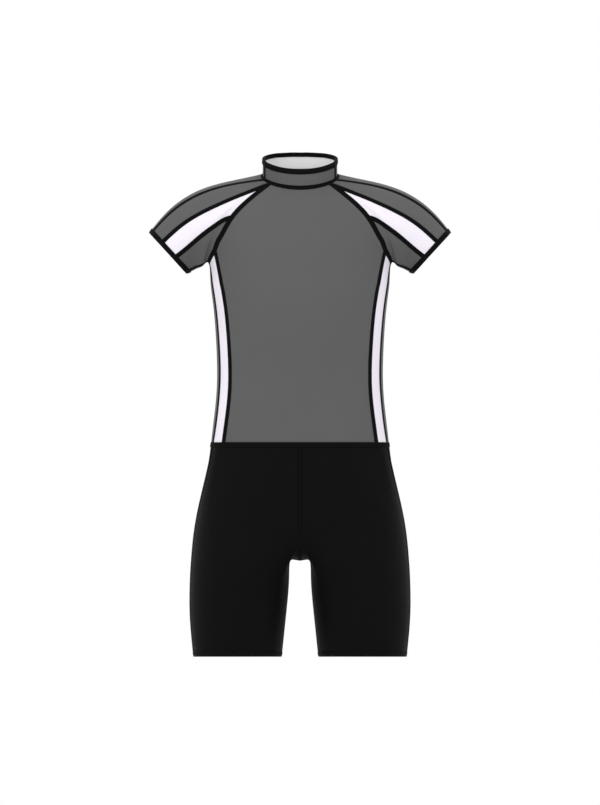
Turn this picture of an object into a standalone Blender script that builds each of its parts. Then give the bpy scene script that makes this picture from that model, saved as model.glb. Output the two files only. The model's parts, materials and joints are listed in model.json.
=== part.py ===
"""Short-sleeved unitard with a stand-up collar, hollow and filled out as when it is worn.

The front faces -Y, +X is the wearer's left, and +Z is up. The origin is the centre of the neck base, at
the height where the collar meets the shoulder. Tables and sizes are in millimetres, and objects are made
in metres. One smooth form is laid out as a cage of quads whose lines follow the seams. Each
cloth piece is a thin shell cut from that form, and each seam cover is a strip laid on it.
"""

import math

import bmesh
import bpy
import numpy as np
from mathutils import Matrix, Vector

METRES_PER_MM = 0.001

# How the form is fitted and walked over
FIT_ROUNDS = 25
LEAST_SQUARE = 0.25
LEAST_LEAN = 0.5
TRIM_STEPS = 40
LEAST_STEP = 0.06
FAN_STEP = 0.3

# Cloth and trim, millimetres
CLOTH_THICK = 1.2
LINING_THICK = 1.0
SEAM_GAP = 0.3
LAID_GAP = 0.3
INSIDE_GAP = 0.7
RAGLAN_RISE = 1.4
RISE_STATIONS = 3.0
COVER_WIDTH = 8.8
STRIPE_WIDTH = 8.2
NARROW_WIDTH = 6.0
COVER_EDGE = 0.5
COVER_CROWN = 0.8
COVER_CLEAR = 0.6
BINDING_THICK = 0.9
BINDING_OUT = 8.2
BINDING_IN = 6.5
COLLAR_DEPTH = CLOTH_THICK + LAID_GAP + LINING_THICK

# Neck and collar, millimetres
NECK_HALF_WIDTH = 65.5
NECK_HALF_DEPTH = 62.0
NECK_FRONT_DROP = 20.5
NECK_BACK_RISE = 12.0
RIM_FRONT = 11.5
RIM_SIDE = 30.5
RIM_BACK = 41.0
RIM_FORWARD = 5.0

# The body's level sections are super-ellipses of this power, and the legs' of the other
BODY_POWER = 2.2
LEG_POWER = 2.1

# z, half_width, front_depth, back_depth, stripe_x, side_turn, back_turn. stripe_x is the side stripe's front
# edge. side_turn is the side seam's place in degrees, a little forward so that it shows from the front, and
# back_turn is that of the first column of points behind it.
TORSO = (
    (-185.0, 157.4, 112.0, 109.0, 138.2, 77.0, 102.0),
    (-240.0, 150.8, 113.0, 99.0, 129.0, 75.0, 100.0),
    (-331.0, 145.5, 101.0, 83.0, 122.6, 74.0, 99.0),
    (-400.0, 148.7, 99.0, 90.0, 125.2, 74.0, 101.0),
    (-470.0, 157.8, 101.0, 103.0, 134.3, 75.0, 105.0),
)

# z, half_width, front_depth, back_depth, side_x, side_turn, back_turn, first, second, power: first and second
# place two columns of points between the centre and the corner, as parts of its turn
HIPS = (
    (-540.0, 169.6, 102.0, 114.5, 144.0, 82.0, 118.0, 0.29, 0.63, 2.4),
    (-610.0, 183.3, 97.5, 117.0, 157.0, 90.0, 128.0, 0.15, 0.52, 3.1),
)

# z, inner_x, outer_x, front_depth, back_depth, then the turns of three columns from the inner line
LEGS = (
    (-708.0, 20.1, 192.0, 96.0, 105.5, 22.0, 46.0, 90.0, 134.0),
    (-768.0, 25.2, 192.2, 88.0, 91.5, 28.0, 57.0, 97.0, 138.0),
    (-840.0, 32.7, 186.0, 78.0, 82.0, 30.0, 62.0, 101.0, 140.0),
)

# y and z of the crotch, front to back, at the centre and at the inner leg line
CROTCH_HALF_WIDTH = 17.2
CROTCH = ((-79.0, -655.0), (-42.0, -669.5), (0.0, -672.0), (46.0, -669.5), (92.0, -653.0))
# x, y, z of the leg top outside the crotch: front, front corner, side, back corner, back
LEG_TOP = (
    (101.0, -98.0, -666.0),
    (163.0, -73.0, -669.0),
    (190.0, 0.0, -672.0),
    (163.0, 80.0, -669.0),
    (101.0, 112.0, -666.0),
)

# centre_y, centre_z, then x, y, z of the raglan seam on the same row, from the side stripe up
FRONT_YOKE = (
    (-110.0, -150.0, 149.3, -50.0, -129.5),
    (-104.5, -118.0, 137.4, -64.0, -103.3),
    (-94.5, -84.0, 119.0, -66.5, -71.8),
    (-80.5, -50.0, 90.1, -59.5, -42.0),
)
BACK_YOKE = (
    (112.0, -150.0, 152.8, 42.0, -137.3),
    (112.0, -115.0, 138.0, 69.0, -102.0),
    (107.5, -78.0, 119.0, 74.0, -68.0),
    (95.0, -36.0, 88.0, 68.0, -33.0),
)
# How late a yoke row turns back and falls on its way from the centre line to the raglan seam
YOKE_TURN_POWER = 2.5
YOKE_FALL_POWER = 2.0
# Where the side, underarm and raglan seams meet, and the lowest point under the arm, behind it
UNDERARM = (158.7, -18.0, -150.9)
ARMPIT = (160.0, 0.0, -154.0)
# Places that tell the open edges and the leg seams apart
CUFF_INSIDE = 180.0
LEG_LOW = -800.0
OUTSIDE_X = 110.0
YOKE_PARTS = (0.37, 0.70)
RAGLAN_FRONT_TURN = 50.86
RAGLAN_BACK_TURN = 132.9
COLLAR_SIDE_TURNS = (60.5, 70.0, 101.0)

# Lines that shape the sleeve from the neck or raglan to the cuff: x, y, z along each, without its two ends
TOP_LINE = (
    (109.4, 4.0, -4.8), (148.4, 6.0, -14.0), (171.8, 6.0, -21.0), (187.8, 6.0, -28.7), (206.8, 5.0, -41.6),
    (226.1, 4.0, -55.0), (245.0, 2.0, -68.3), (258.4, 1.0, -81.0),
)
STRIPE_TOP_LINE = (
    (80.0, -48.5, -24.2), (105.0, -55.0, -33.3), (146.1, -59.0, -50.8), (181.1, -57.0, -68.3),
    (208.3, -53.5, -85.8), (229.3, -49.0, -103.3),
)
STRIPE_BOTTOM_LINE = (
    (147.9, -65.5, -85.8), (171.5, -61.5, -103.3), (192.5, -56.0, -120.8), (210.9, -49.5, -138.3),
)
UNDERARM_LINE = ((173.8, 0.0, -161.4), (185.2, 0.0, -165.2))
BACK_LOW_LINE = ((148.0, 71.0, -86.0), (171.5, 65.5, -104.0), (192.5, 59.0, -121.0), (210.9, 51.5, -138.0))
BACK_TOP_LINE = ((105.0, 60.0, -28.0), (146.0, 63.0, -46.0), (181.0, 60.0, -66.0), (208.3, 56.0, -85.5))
BACK_LOW_TURN = 253.0
BACK_TOP_TURN = 294.5
SLEEVE_STEPS = (0.25, 0.5, 0.75, 1.0)
CUFF_CENTRE = (231.1, 0.0, -134.1)
CUFF_HALF_LENGTH = 48.5
CUFF_HALF_DEPTH = 50.0
CUFF_UP = (0.674, 0.0, 0.739)
# Turn of each sleeve column round the cuff, from its top forward: the first is the shoulder seam, the eighth
# the underarm seam
SLEEVE_TURNS = (22.0, 44.0, 65.5, 86.0, 107.0, 125.0, 143.0, 160.0, 186.0, 217.0, 249.0, 279.0, 309.0, 346.0)

# Zip, millimetres
ZIP_BOTTOM = -331.0
ZIP_TAPE_EDGES = (0.4, 6.6)
ZIP_TAPE_THICK = 0.8
CHAIN_HALF_WIDTH = 2.6
CHAIN_THICK = 1.8
CHAIN_BEVEL = (0.8, 0.6)
STOP_LENGTH = 3.2
HINGE_BELOW = 1.5
SLIDER_BELOW_RIM = 9.0
SLIDER_LENGTH = 10.0
SLIDER_WIDTH = 8.6
SLIDER_THICK = 2.4
BRIDGE_WIDTH = 2.2
BRIDGE_THICK = 0.9
BRIDGE_ROOM = 2.4
BRIDGE_LENGTH = 7.6
TAB_LENGTH = 19.0
TAB_WIDTH = 6.4
TAB_THICK = 1.2
TAB_BAR = 1.4
TAB_WINDOW = (3.4, 5.0)
TAB_POINTS = 20
TAB_POWER = 5.0

# colour, roughness, metallic
LOOKS = {
    "grey_jersey": ((0.125, 0.125, 0.128), 0.62, 0.0),
    "white_jersey": ((0.90, 0.87, 0.94), 0.60, 0.0),
    "black_jersey": ((0.006, 0.006, 0.006), 0.60, 0.0),
    "black_cover": ((0.006, 0.006, 0.006), 0.70, 0.0),
    "black_binding": ((0.006, 0.006, 0.006), 0.65, 0.0),
    "white_lining": ((0.95, 0.95, 0.95), 0.65, 0.0),
    "zip_tape": ((0.008, 0.008, 0.008), 0.75, 0.0),
    "zip_plastic": ((0.010, 0.010, 0.010), 0.35, 0.0),
    "zip_metal": ((0.020, 0.020, 0.020), 0.35, 0.6),
}

PANEL_LOOKS = {
    "front_body": "grey_jersey",
    "back": "grey_jersey",
    "side_stripe": "white_jersey",
    "sleeve_upper": "grey_jersey",
    "sleeve_stripe": "white_jersey",
    "sleeve_lower": "grey_jersey",
    "sleeve_back": "grey_jersey",
    "collar_front": "grey_jersey",
    "collar_back": "grey_jersey",
    "shorts_front": "black_jersey",
    "shorts_back": "black_jersey",
}
ONE_PIECE = ("front_body", "collar_front")
COLLAR = {"collar_front", "collar_back_left", "collar_back_right"}
BODY = {"front_body", "back_left", "back_right", "side_stripe_left", "side_stripe_right"}
SLEEVE_PARTS = ("upper", "stripe", "lower", "back")
SLEEVES = {f"sleeve_{part}_{side}" for part in SLEEVE_PARTS for side in ("left", "right")}
SHORTS = {f"shorts_{part}_{side}" for part in ("front", "back") for side in ("left", "right")}


# Form

def section_point(z, half_width, front, back, turn, power):
    """Point of a level super-ellipse, turned from the centre front (0) to the centre back (pi)."""
    depth = front if turn < math.pi / 2 else back
    across = abs(math.sin(turn)) ** (2 / power)
    along = abs(math.cos(turn)) ** (2 / power)
    return (half_width * across, math.copysign(depth * along, -math.cos(turn)), z)


def body_ring(
    z, half_width, front, back, side_x, side_turn, back_turn, first=1 / 3, second=2 / 3, power=BODY_POWER
):
    """Nine points round one half of the body, from the centre front to the centre back."""
    corner = math.asin((side_x / half_width) ** (power / 2))
    behind = math.radians(180.0 - back_turn)
    parts = (0.0, first, second, 1.0)
    turns = [part * corner for part in parts] + [math.radians(side_turn)]
    turns += [math.pi - part * behind for part in reversed(parts)]
    return [section_point(z, half_width, front, back, turn, power) for turn in turns]


def neck_point(turn_degrees):
    """Point of the neck seam, turned from the centre front (0) to the centre back (180)."""
    turn = math.radians(turn_degrees)
    rise = (NECK_BACK_RISE - NECK_FRONT_DROP) / 2
    tilt = (NECK_BACK_RISE + NECK_FRONT_DROP) / 2
    z = rise * math.cos(turn) ** 2 - tilt * math.cos(turn)
    return (NECK_HALF_WIDTH * math.sin(turn), -NECK_HALF_DEPTH * math.cos(turn), z)


def rim_point(turn_degrees):
    """Point of the collar's top edge above neck_point(turn_degrees)."""
    turn = math.radians(turn_degrees)
    bend = (RIM_FRONT + RIM_BACK) / 2 - RIM_SIDE
    tilt = (RIM_BACK - RIM_FRONT) / 2
    z = RIM_SIDE + bend * math.cos(turn) ** 2 - tilt * math.cos(turn)
    x, y, _ = neck_point(turn_degrees)
    return (x, y - RIM_FORWARD, z)


def yoke_row(centre_y, centre_z, raglan_x, raglan_y, raglan_z):
    """Four points from the centre line to the raglan seam, level and square at the centre."""
    row = []
    for part in (0.0, *YOKE_PARTS, 1.0):
        y = centre_y + (raglan_y - centre_y) * part**YOKE_TURN_POWER
        z = centre_z + (raglan_z - centre_z) * part**YOKE_FALL_POWER
        row.append((raglan_x * part, y, z))
    return row


def leg_ring(z, inner_x, outer_x, front, back, *turns):
    """Ten points round one leg: from the inner line forward, round the side and back."""
    centre = (inner_x + outer_x) / 2
    half = (outer_x - inner_x) / 2
    forward = [0.0, *turns, 180.0]
    points = []
    for degrees, depth in [(d, -front) for d in forward] + [(d, back) for d in reversed(forward[1:-1])]:
        turn = math.radians(degrees)
        along = math.copysign(abs(math.cos(turn)) ** (2 / LEG_POWER), -math.cos(turn))
        across = abs(math.sin(turn)) ** (2 / LEG_POWER)
        points.append((centre + half * along, depth * across, z))
    return points


def cuff_point(turn_degrees):
    """Point of the cuff's edge, turned from its top forward."""
    turn = math.radians(turn_degrees)
    up = np.array(CUFF_UP) * CUFF_HALF_LENGTH * math.cos(turn)
    depth = np.array((0.0, -CUFF_HALF_DEPTH * math.sin(turn), 0.0))
    return np.array(CUFF_CENTRE) + up + depth


def along_line(points, parts):
    """Points at parts of the length of a line through the given points."""
    points = np.array(points)
    lengths = np.concatenate(([0.0], np.cumsum(np.linalg.norm(np.diff(points, axis=0), axis=1))))
    places = [part * lengths[-1] for part in parts]
    return [np.array([np.interp(place, lengths, points[:, k]) for k in range(3)]) for place in places]


def round_spline(knots, points, turn):
    """Closed cubic through the points at the given turns, in degrees."""
    count = len(knots)
    after = next((i for i, knot in enumerate(knots) if knot > turn), count)
    at = [knots[(after + k) % count] + 360.0 * ((after + k) // count) for k in (-2, -1, 0, 1)]
    near = [points[(after + k) % count] for k in (-2, -1, 0, 1)]
    span = at[2] - at[1]
    start = (near[2] - near[0]) / (at[2] - at[0]) * span
    end = (near[3] - near[1]) / (at[3] - at[1]) * span
    t = (turn - at[1]) / span
    return (
        near[1] * (2 * t**3 - 3 * t**2 + 1) + start * (t**3 - 2 * t**2 + t)
        + near[2] * (3 * t**2 - 2 * t**3) + end * (t**3 - t**2)
    )


def sleeve_rows(edge):
    """Rows of points round the sleeve, from its edge at the neck and raglan seams to the cuff."""
    lines = (
        (0.0, neck_point(90.0), TOP_LINE),
        (SLEEVE_TURNS[2], edge[2], STRIPE_TOP_LINE),
        (SLEEVE_TURNS[4], edge[4], STRIPE_BOTTOM_LINE),
        (180.0, ARMPIT, UNDERARM_LINE),
        (BACK_LOW_TURN, edge[10], BACK_LOW_LINE),
        (BACK_TOP_TURN, edge[12], BACK_TOP_LINE),
    )
    knots = [turn for turn, _, _ in lines]
    parts = (0.0, *SLEEVE_STEPS)
    placed = [along_line([start, *line, cuff_point(turn)], parts) for turn, start, line in lines]
    rows = [list(edge)]
    for step, part in enumerate(SLEEVE_STEPS, start=1):
        row = []
        for column, turn in enumerate(SLEEVE_TURNS):
            first = round_spline(knots, [line[0] for line in placed], turn)
            strayed = np.array(edge[column]) - first
            here = round_spline(knots, [line[step] for line in placed], turn)
            row.append(tuple(here + strayed * (1 - part) ** 2))
        rows.append(row)
    rows[-1] = [tuple(cuff_point(turn)) for turn in SLEEVE_TURNS]
    return rows


class Cage:
    """Quads of the wearer's left half and their mirror image, with shared points merged."""

    def __init__(self):
        self.points = []
        self.numbers = {}
        self.faces = []
        self.panels = []
        self.creases = []

    def point(self, place):
        key = tuple(round(value, 2) for value in place)
        if key not in self.numbers:
            self.numbers[key] = len(self.points)
            self.points.append(tuple(float(value) for value in place))
        return self.numbers[key]

    def quad(self, panel, corners):
        name = panel if panel in ONE_PIECE else panel + "_left"
        self.faces.append([self.point(corner) for corner in corners])
        self.panels.append(name)
        mirrored = [(-x, y, z) for x, y, z in reversed(corners)]
        self.faces.append([self.point(corner) for corner in mirrored])
        self.panels.append(name.replace("_left", "_right"))

    def grid(self, rows, panel_of):
        """Quads between rows of points. panel_of(row, column) names each quad's panel."""
        for i, (upper, lower) in enumerate(zip(rows, rows[1:])):
            for j in range(len(upper) - 1):
                self.quad(panel_of(i, j), [upper[j], lower[j], lower[j + 1], upper[j + 1]])

    def crease(self, row):
        for sign in (1, -1):
            numbers = [self.point((sign * x, y, z)) for x, y, z in row]
            self.creases.extend(zip(numbers, numbers[1:]))


def build_cage():
    """The whole form: torso, yoke, sleeves, collar, hips and legs."""
    cage = Cage()
    torso = [body_ring(*row) for row in TORSO]
    side = len(torso[0]) // 2

    def torso_panel(_, column):
        if column < side - 1:
            return "front_body"
        return "side_stripe" if column == side - 1 else "back"

    cage.grid(torso, torso_panel)

    # Yoke: rows rise from the top torso section to the neck seam, on the front and on the back
    front_turns = [part * RAGLAN_FRONT_TURN for part in (0.0, *YOKE_PARTS, 1.0)]
    back_turns = [180.0 - part * (180.0 - RAGLAN_BACK_TURN) for part in (0.0, *YOKE_PARTS, 1.0)]
    front_neck = [neck_point(turn) for turn in front_turns]
    back_neck = [neck_point(turn) for turn in back_turns]
    top = torso[0]
    front_rows = [top[:side], *[yoke_row(*row) for row in FRONT_YOKE], front_neck]
    back_rows = [top[:side:-1], *[yoke_row(*row) for row in BACK_YOKE], back_neck]
    cage.grid([row[::-1] for row in front_rows], lambda i, j: "front_body")
    cage.grid(back_rows, lambda i, j: "back")
    front_raglan = [row[-1] for row in front_rows[1:]]
    back_raglan = [row[-1] for row in back_rows[1:]]
    cage.quad("side_stripe", [front_raglan[0], top[side - 1], top[side], UNDERARM])
    cage.quad("back", [UNDERARM, top[side], top[side + 1], back_raglan[0]])

    # Sleeve: its edge runs from the neck side down the front raglan, under the arm and up the back raglan
    near, middle, far = [neck_point(turn) for turn in COLLAR_SIDE_TURNS]
    edge = [middle, near, *front_raglan[::-1], UNDERARM, *back_raglan, far]
    sleeve_panels = ["sleeve_upper"] * 2 + ["sleeve_stripe"] * 2 + ["sleeve_lower"] * 3 + ["sleeve_back"] * 7
    closed = [[*row, row[0]][::-1] for row in sleeve_rows(edge)]
    cage.grid(closed, lambda i, j: sleeve_panels[-1 - j])

    # Collar
    turns = [*front_turns, *COLLAR_SIDE_TURNS, *back_turns[::-1]]
    base = [*front_neck, near, middle, far, *back_neck[::-1]]
    rim = [rim_point(turn) for turn in turns]
    cage.grid([rim, base], lambda i, j: "collar_front" if j < len(front_turns) + 1 else "collar_back")
    cage.crease(base)

    # Hips, then the leg tops, whose inner points are the edge of the crotch
    hips = [torso[-1], *[body_ring(*row) for row in HIPS]]
    cage.grid(hips, lambda i, j: "shorts_front" if j < side else "shorts_back")
    middle_line = [(0.0, y, z) for y, z in CROTCH]
    inner_line = [(CROTCH_HALF_WIDTH, y, z) for y, z in CROTCH]
    low = hips[-1]
    cage.grid(
        [low, [middle_line[0], inner_line[0], *LEG_TOP, inner_line[-1], middle_line[-1]]],
        lambda i, j: "shorts_front" if j < side else "shorts_back",
    )
    half = len(CROTCH) // 2
    cage.grid([inner_line, middle_line], lambda i, j: "shorts_front" if j < half else "shorts_back")
    first_ring = [*inner_line[half::-1], *LEG_TOP, *inner_line[:half - 1:-1]]
    rings = [first_ring, *[[*ring, ring[0]] for ring in (leg_ring(*row) for row in LEGS)]]
    front_quads = len(first_ring) // 2
    cage.grid(rings, lambda i, j: "shorts_front" if j < front_quads else "shorts_back")
    return cage


def evaluated_mesh(item):
    """The object's mesh with its modifiers applied, as new data."""
    bpy.context.view_layer.update()
    evaluated = item.evaluated_get(bpy.context.evaluated_depsgraph_get())
    return bpy.data.meshes.new_from_object(evaluated)


def fitted_form(cage):
    """Subdivided form whose surface passes through the cage's points, as (bmesh, names of its panels)."""
    mesh = bpy.data.meshes.new("form")
    mesh.from_pydata(cage.points, [], cage.faces)
    names = sorted(set(cage.panels))
    for _ in names:
        mesh.materials.append(None)
    mesh.polygons.foreach_set("material_index", [names.index(panel) for panel in cage.panels])
    sharp = {frozenset(pair) for pair in cage.creases}
    weights = mesh.attributes.new("crease_edge", "FLOAT", "EDGE")
    weights.data.foreach_set("value", [float(frozenset(edge.vertices) in sharp) for edge in mesh.edges])
    form = bpy.data.objects.new("form", mesh)
    bpy.context.scene.collection.objects.link(form)
    smooth = form.modifiers.new("smooth", "SUBSURF")
    smooth.levels = smooth.render_levels = 1

    # The cage moves out by what its smooth surface falls short, until the surface meets the points
    target = np.array(cage.points)
    control = target.copy()
    for _ in range(FIT_ROUNDS):
        mesh.vertices.foreach_set("co", control.ravel())
        mesh.update()
        surface = evaluated_mesh(form)
        reached = np.array([vertex.co for vertex in surface.vertices[:len(target)]])
        bpy.data.meshes.remove(surface)
        control += target - reached
    mesh.vertices.foreach_set("co", control.ravel())
    mesh.update()
    surface = evaluated_mesh(form)
    skin = bmesh.new()
    skin.from_mesh(surface)
    bpy.data.meshes.remove(surface)
    bpy.data.objects.remove(form)
    bpy.data.meshes.remove(mesh)
    skin.normal_update()
    return skin, names


# Walking over the form

def chains(edges):
    """Runs of vertices along the given edges, each end to end. A closed run repeats its first vertex."""
    left = set(edges)
    runs = []
    while left:
        degree = {}
        for edge in left:
            for vert in edge.verts:
                degree[vert] = degree.get(vert, 0) + 1
        ends = [vert for vert, count in degree.items() if count == 1]
        run = [min(ends or degree, key=lambda vert: (-round(vert.co.z, 2), round(vert.co.x, 2)))]
        while True:
            edge = next((edge for edge in run[-1].link_edges if edge in left), None)
            if edge is None:
                break
            left.remove(edge)
            run.append(edge.other_vert(run[-1]))
        runs.append(run)
    return runs


def seam(form, first, second, keep=lambda place: True):
    """Longest run of edges between two groups of panels, among the edges whose middle passes keep."""
    skin, names = form
    edges = []
    for edge in skin.edges:
        sides = [names[face.material_index] for face in edge.link_faces]
        between = len(sides) == 2 and (
            (sides[0] in first and sides[1] in second) or (sides[1] in first and sides[0] in second)
        )
        if between and keep((edge.verts[0].co + edge.verts[1].co) / 2):
            edges.append(edge)
    return max(chains(edges), key=len)


def border(form, keep):
    """Closed run round the open edge of the form whose points pass keep."""
    edges = [edge for edge in form[0].edges if len(edge.link_faces) == 1 and keep(edge.verts[0].co)]
    return max(chains(edges), key=len)


def tangents(path):
    """Unit direction of the path at each of its vertices."""
    last = len(path) - 1
    result = []
    for i in range(len(path)):
        before, after = max(i - 1, 0), min(i + 1, last)
        if path[0] is path[-1]:
            before, after = (i - 1) % last, (i + 1) % last
        result.append((path[after].co - path[before].co).normalized())
    return result


def straight_on(edge, vert):
    """The edge that leads on through a vertex, sharing no face with the one that leads in."""
    faces = set(edge.link_faces)
    options = [other for other in vert.link_edges if other is not edge and not faces & set(other.link_faces)]
    return options[0] if len(options) == 1 else None


def edge_normal(edge):
    return sum((face.normal for face in edge.link_faces), Vector()).normalized()


def side_edges(vert, tangent, on_path):
    """The mesh edges that leave a path to its left and to its right, each list in order along the path."""
    result = []
    for across in (vert.normal.cross(tangent), tangent.cross(vert.normal)):
        ways = {
            edge: (edge.other_vert(vert).co - vert.co).normalized()
            for edge in vert.link_edges if edge not in on_path
        }
        square = [edge for edge, way in ways.items() if way.dot(across) > LEAST_SQUARE]
        result.append(sorted(square, key=lambda edge: ways[edge].dot(tangent)))
    return result


def walk_aside(line, vert, edge, distance):
    """Point and normal at a distance from a line, along the mesh line that leaves it with edge."""
    here = vert
    while True:
        far = edge.other_vert(here)
        parts = np.linspace(0.0, 1.0, TRIM_STEPS + 1)
        away = distance_to_line(np.outer(1 - parts, here.co) + np.outer(parts, far.co), line)
        onward = straight_on(edge, far)
        if away[-1] >= distance or onward is None:
            return here.co.lerp(far.co, float(np.interp(distance, away, parts))), edge_normal(edge)
        here, edge = far, onward


def rail(path, offset):
    """Line beside a path over the form: its stations, its points and the directions that lift them.

    A positive offset lies left of a seam, or inward from an open edge. A negative one lies right of a
    seam, or beyond the edge. The path's vertices are at the whole-number stations.
    """
    on_path = {
        edge for one, two in zip(path, path[1:]) for edge in one.link_edges if edge.other_vert(one) is two
    }
    at_border = all(len(edge.link_faces) == 1 for edge in on_path)
    line = path_line(path)
    found = []
    for station, (vert, tangent) in enumerate(zip(path, tangents(path))):
        left, right = side_edges(vert, tangent, on_path)
        edges = (left or right) if at_border or offset > 0 else (right or left)
        if at_border and offset <= 0:
            inward = edges[0].other_vert(vert).co - vert.co
            inward = (inward - inward.dot(tangent) * tangent).normalized()
            found.append((station, vert.co + inward * offset, edge_normal(edges[0])))
        elif offset == 0:
            lean = min(vert.normal.dot(edge_normal(edge)) for edge in left + right)
            found.append((station, vert.co, vert.normal / max(lean, LEAST_LEAN)))
        else:
            middle = (len(edges) - 1) / 2
            for k, edge in enumerate(edges):
                found.append((station + (k - middle) * FAN_STEP, *walk_aside(line, vert, edge, abs(offset))))
    stations, points, lifts = zip(*found)
    return np.array(stations, dtype=float), np.array(points), np.array(lifts)


def distance_to_line(points, line):
    """Distance of each point from a line through points."""
    starts, ways = line[:-1], np.diff(line, axis=0)
    lengths = np.maximum((ways**2).sum(axis=1), 1e-9)
    away = points[:, None, :] - starts[None, :, :]
    parts = np.clip((away * ways).sum(axis=2) / lengths, 0.0, 1.0)
    return np.linalg.norm(away - parts[..., None] * ways, axis=2).min(axis=1)


def at_stations(stations, values, wanted):
    return np.stack([np.interp(wanted, stations, values[:, k]) for k in range(3)], axis=1)


def clear_stations(stations, points, blockers):
    """Stations of a rail, from the first to the last that lie clear of every (line, radius)."""
    steps = np.linspace(stations[0], stations[-1], len(stations) * TRIM_STEPS)
    fine = at_stations(stations, points, steps)
    blocked = np.zeros(len(steps), bool)
    for line, radius in blockers:
        blocked |= distance_to_line(fine, line) < radius
    middle = len(steps) // 2
    before = np.flatnonzero(blocked[:middle])
    after = np.flatnonzero(blocked[middle:])
    start = steps[before[-1] + 1] if len(before) else stations[0]
    end = steps[middle + after[0] - 1] if len(after) else stations[-1]
    inside = [k for k in stations if start + LEAST_STEP < k < end - LEAST_STEP]
    return np.array([start, *inside, end])


def path_line(path):
    return np.array([vert.co for vert in path])


# Solids

def make_object(name, look, mesh, matrix=Matrix()):
    """Link a bmesh given in millimetres as one object in metres, with its material."""
    mesh.normal_update()
    bmesh.ops.scale(mesh, vec=[METRES_PER_MM] * 3, verts=mesh.verts)
    data = bpy.data.meshes.new(name)
    mesh.to_mesh(data)
    mesh.free()
    if look not in bpy.data.materials:
        colour, roughness, metallic = LOOKS[look]
        material = bpy.data.materials.new(look)
        material.use_nodes = True
        shader = material.node_tree.nodes["Principled BSDF"]
        shader.inputs["Base Color"].default_value = (*colour, 1.0)
        shader.inputs["Roughness"].default_value = roughness
        shader.inputs["Metallic"].default_value = metallic
    data.materials.append(bpy.data.materials[look])
    item = bpy.data.objects.new(name, data)
    item.matrix_world = matrix
    bpy.context.scene.collection.objects.link(item)
    return item


def border_shift(vert, faces):
    """How far a panel's vertex moves in from the panel's border, half a seam gap off each edge."""
    inward = []
    for edge in vert.link_edges:
        own = [face for face in edge.link_faces if face in faces]
        if len(own) == 1:
            along = (edge.verts[1].co - edge.verts[0].co).normalized()
            way = own[0].normal.cross(along)
            middle = own[0].calc_center_median() - edge.verts[0].co
            inward.append(way if way.dot(middle) > 0 else -way)
    if len(inward) != 2:
        return Vector()
    return (inward[0] + inward[1]) * (SEAM_GAP / 2 / (1 + inward[0].dot(inward[1])))


def cloth_shell(form, panels, name, look, depth=0.0, thick=CLOTH_THICK):
    """Closed shell of the given panels, its outer face at a depth below the form.

    Each quad is split along its lower diagonal, so that what is laid across it stays clear.
    """
    skin, names = form
    faces = {face for face in skin.faces if names[face.material_index] in panels}
    mesh = bmesh.new()
    outer, inner = {}, {}
    for vert in {vert: None for face in sorted(faces, key=lambda face: face.index) for vert in face.verts}:
        own = sum((face.normal for face in vert.link_faces if face in faces), Vector()).normalized()
        sink = vert.normal / max(vert.normal.dot(own), LEAST_LEAN)
        place = vert.co + border_shift(vert, faces)
        outer[vert] = mesh.verts.new(place - sink * depth)
        inner[vert] = mesh.verts.new(place - sink * (depth + thick))
    for face in sorted(faces, key=lambda face: face.index):
        one, two, three, four = face.verts
        halves = ((one, two, three), (one, three, four))
        if (one.co + three.co - two.co - four.co).dot(face.normal) > 0:
            halves = ((two, three, four), (two, four, one))
        for half in halves:
            mesh.faces.new([outer[vert] for vert in half])
            mesh.faces.new([inner[vert] for vert in reversed(half)])
        for edge in face.edges:
            if sum(other in faces for other in edge.link_faces) == 1:
                one, two = edge.verts
                mesh.faces.new((outer[one], inner[one], inner[two], outer[two]))
    bmesh.ops.recalc_face_normals(mesh, faces=mesh.faces)
    return make_object(name, look, mesh)


def bridge(mesh, one, other):
    """Triangles between two rows of (station, vert), taken in the order of their stations."""
    i = j = 0
    while i < len(one) - 1 or j < len(other) - 1:
        if j == len(other) - 1 or (i < len(one) - 1 and one[i + 1][0] <= other[j + 1][0]):
            mesh.faces.new((one[i][1], other[j][1], one[i + 1][1]))
            i += 1
        else:
            mesh.faces.new((one[i][1], other[j][1], other[j + 1][1]))
            j += 1


def sweep(name, look, path, profile, blockers=(), end_rise=0.0):
    """Closed solid of a profile of (offset, height) points carried along a path over the form.

    end_rise lifts both ends of the strip where several seams run together.
    """
    bases = {}
    for offset in sorted({offset for offset, _ in profile}):
        stations, points, lifts = rail(path, offset)
        clear = clear_stations(stations, points, blockers)
        bases[offset] = (clear, at_stations(stations, points, clear), at_stations(stations, lifts, clear))
    closed = path[0] is path[-1] and all(clear[0] == 0 for clear, _, _ in bases.values())
    mesh = bmesh.new()
    rows = []
    for offset, height in profile:
        stations, points, lifts = bases[offset]
        from_end = np.minimum(stations, len(path) - 1 - stations)
        heights = height + end_rise * np.clip(1 - from_end / RISE_STATIONS, 0.0, 1.0)
        places = points + lifts * heights[:, None]
        places = places[:-1] if closed else places
        verts = [mesh.verts.new(place) for place in places]
        rows.append(list(zip(stations, verts + verts[:1] if closed else verts)))
    for one, other in zip(rows, rows[1:] + rows[:1]):
        bridge(mesh, one, other)
    if not closed:
        mesh.faces.new([row[0][1] for row in rows])
        mesh.faces.new([row[-1][1] for row in reversed(rows)])
    bmesh.ops.recalc_face_normals(mesh, faces=mesh.faces)
    bmesh.ops.triangulate(mesh, faces=[face for face in mesh.faces if len(face.verts) > 4])
    return make_object(name, look, mesh)


def cover_profile(width):
    """Low domed strip, laid just above the form."""
    half, low = width / 2, LAID_GAP
    return [(half, low), (half, low + COVER_EDGE), (0.0, low + COVER_CROWN), (-half, low + COVER_EDGE),
            (-half, low), (0.0, low)]


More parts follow.
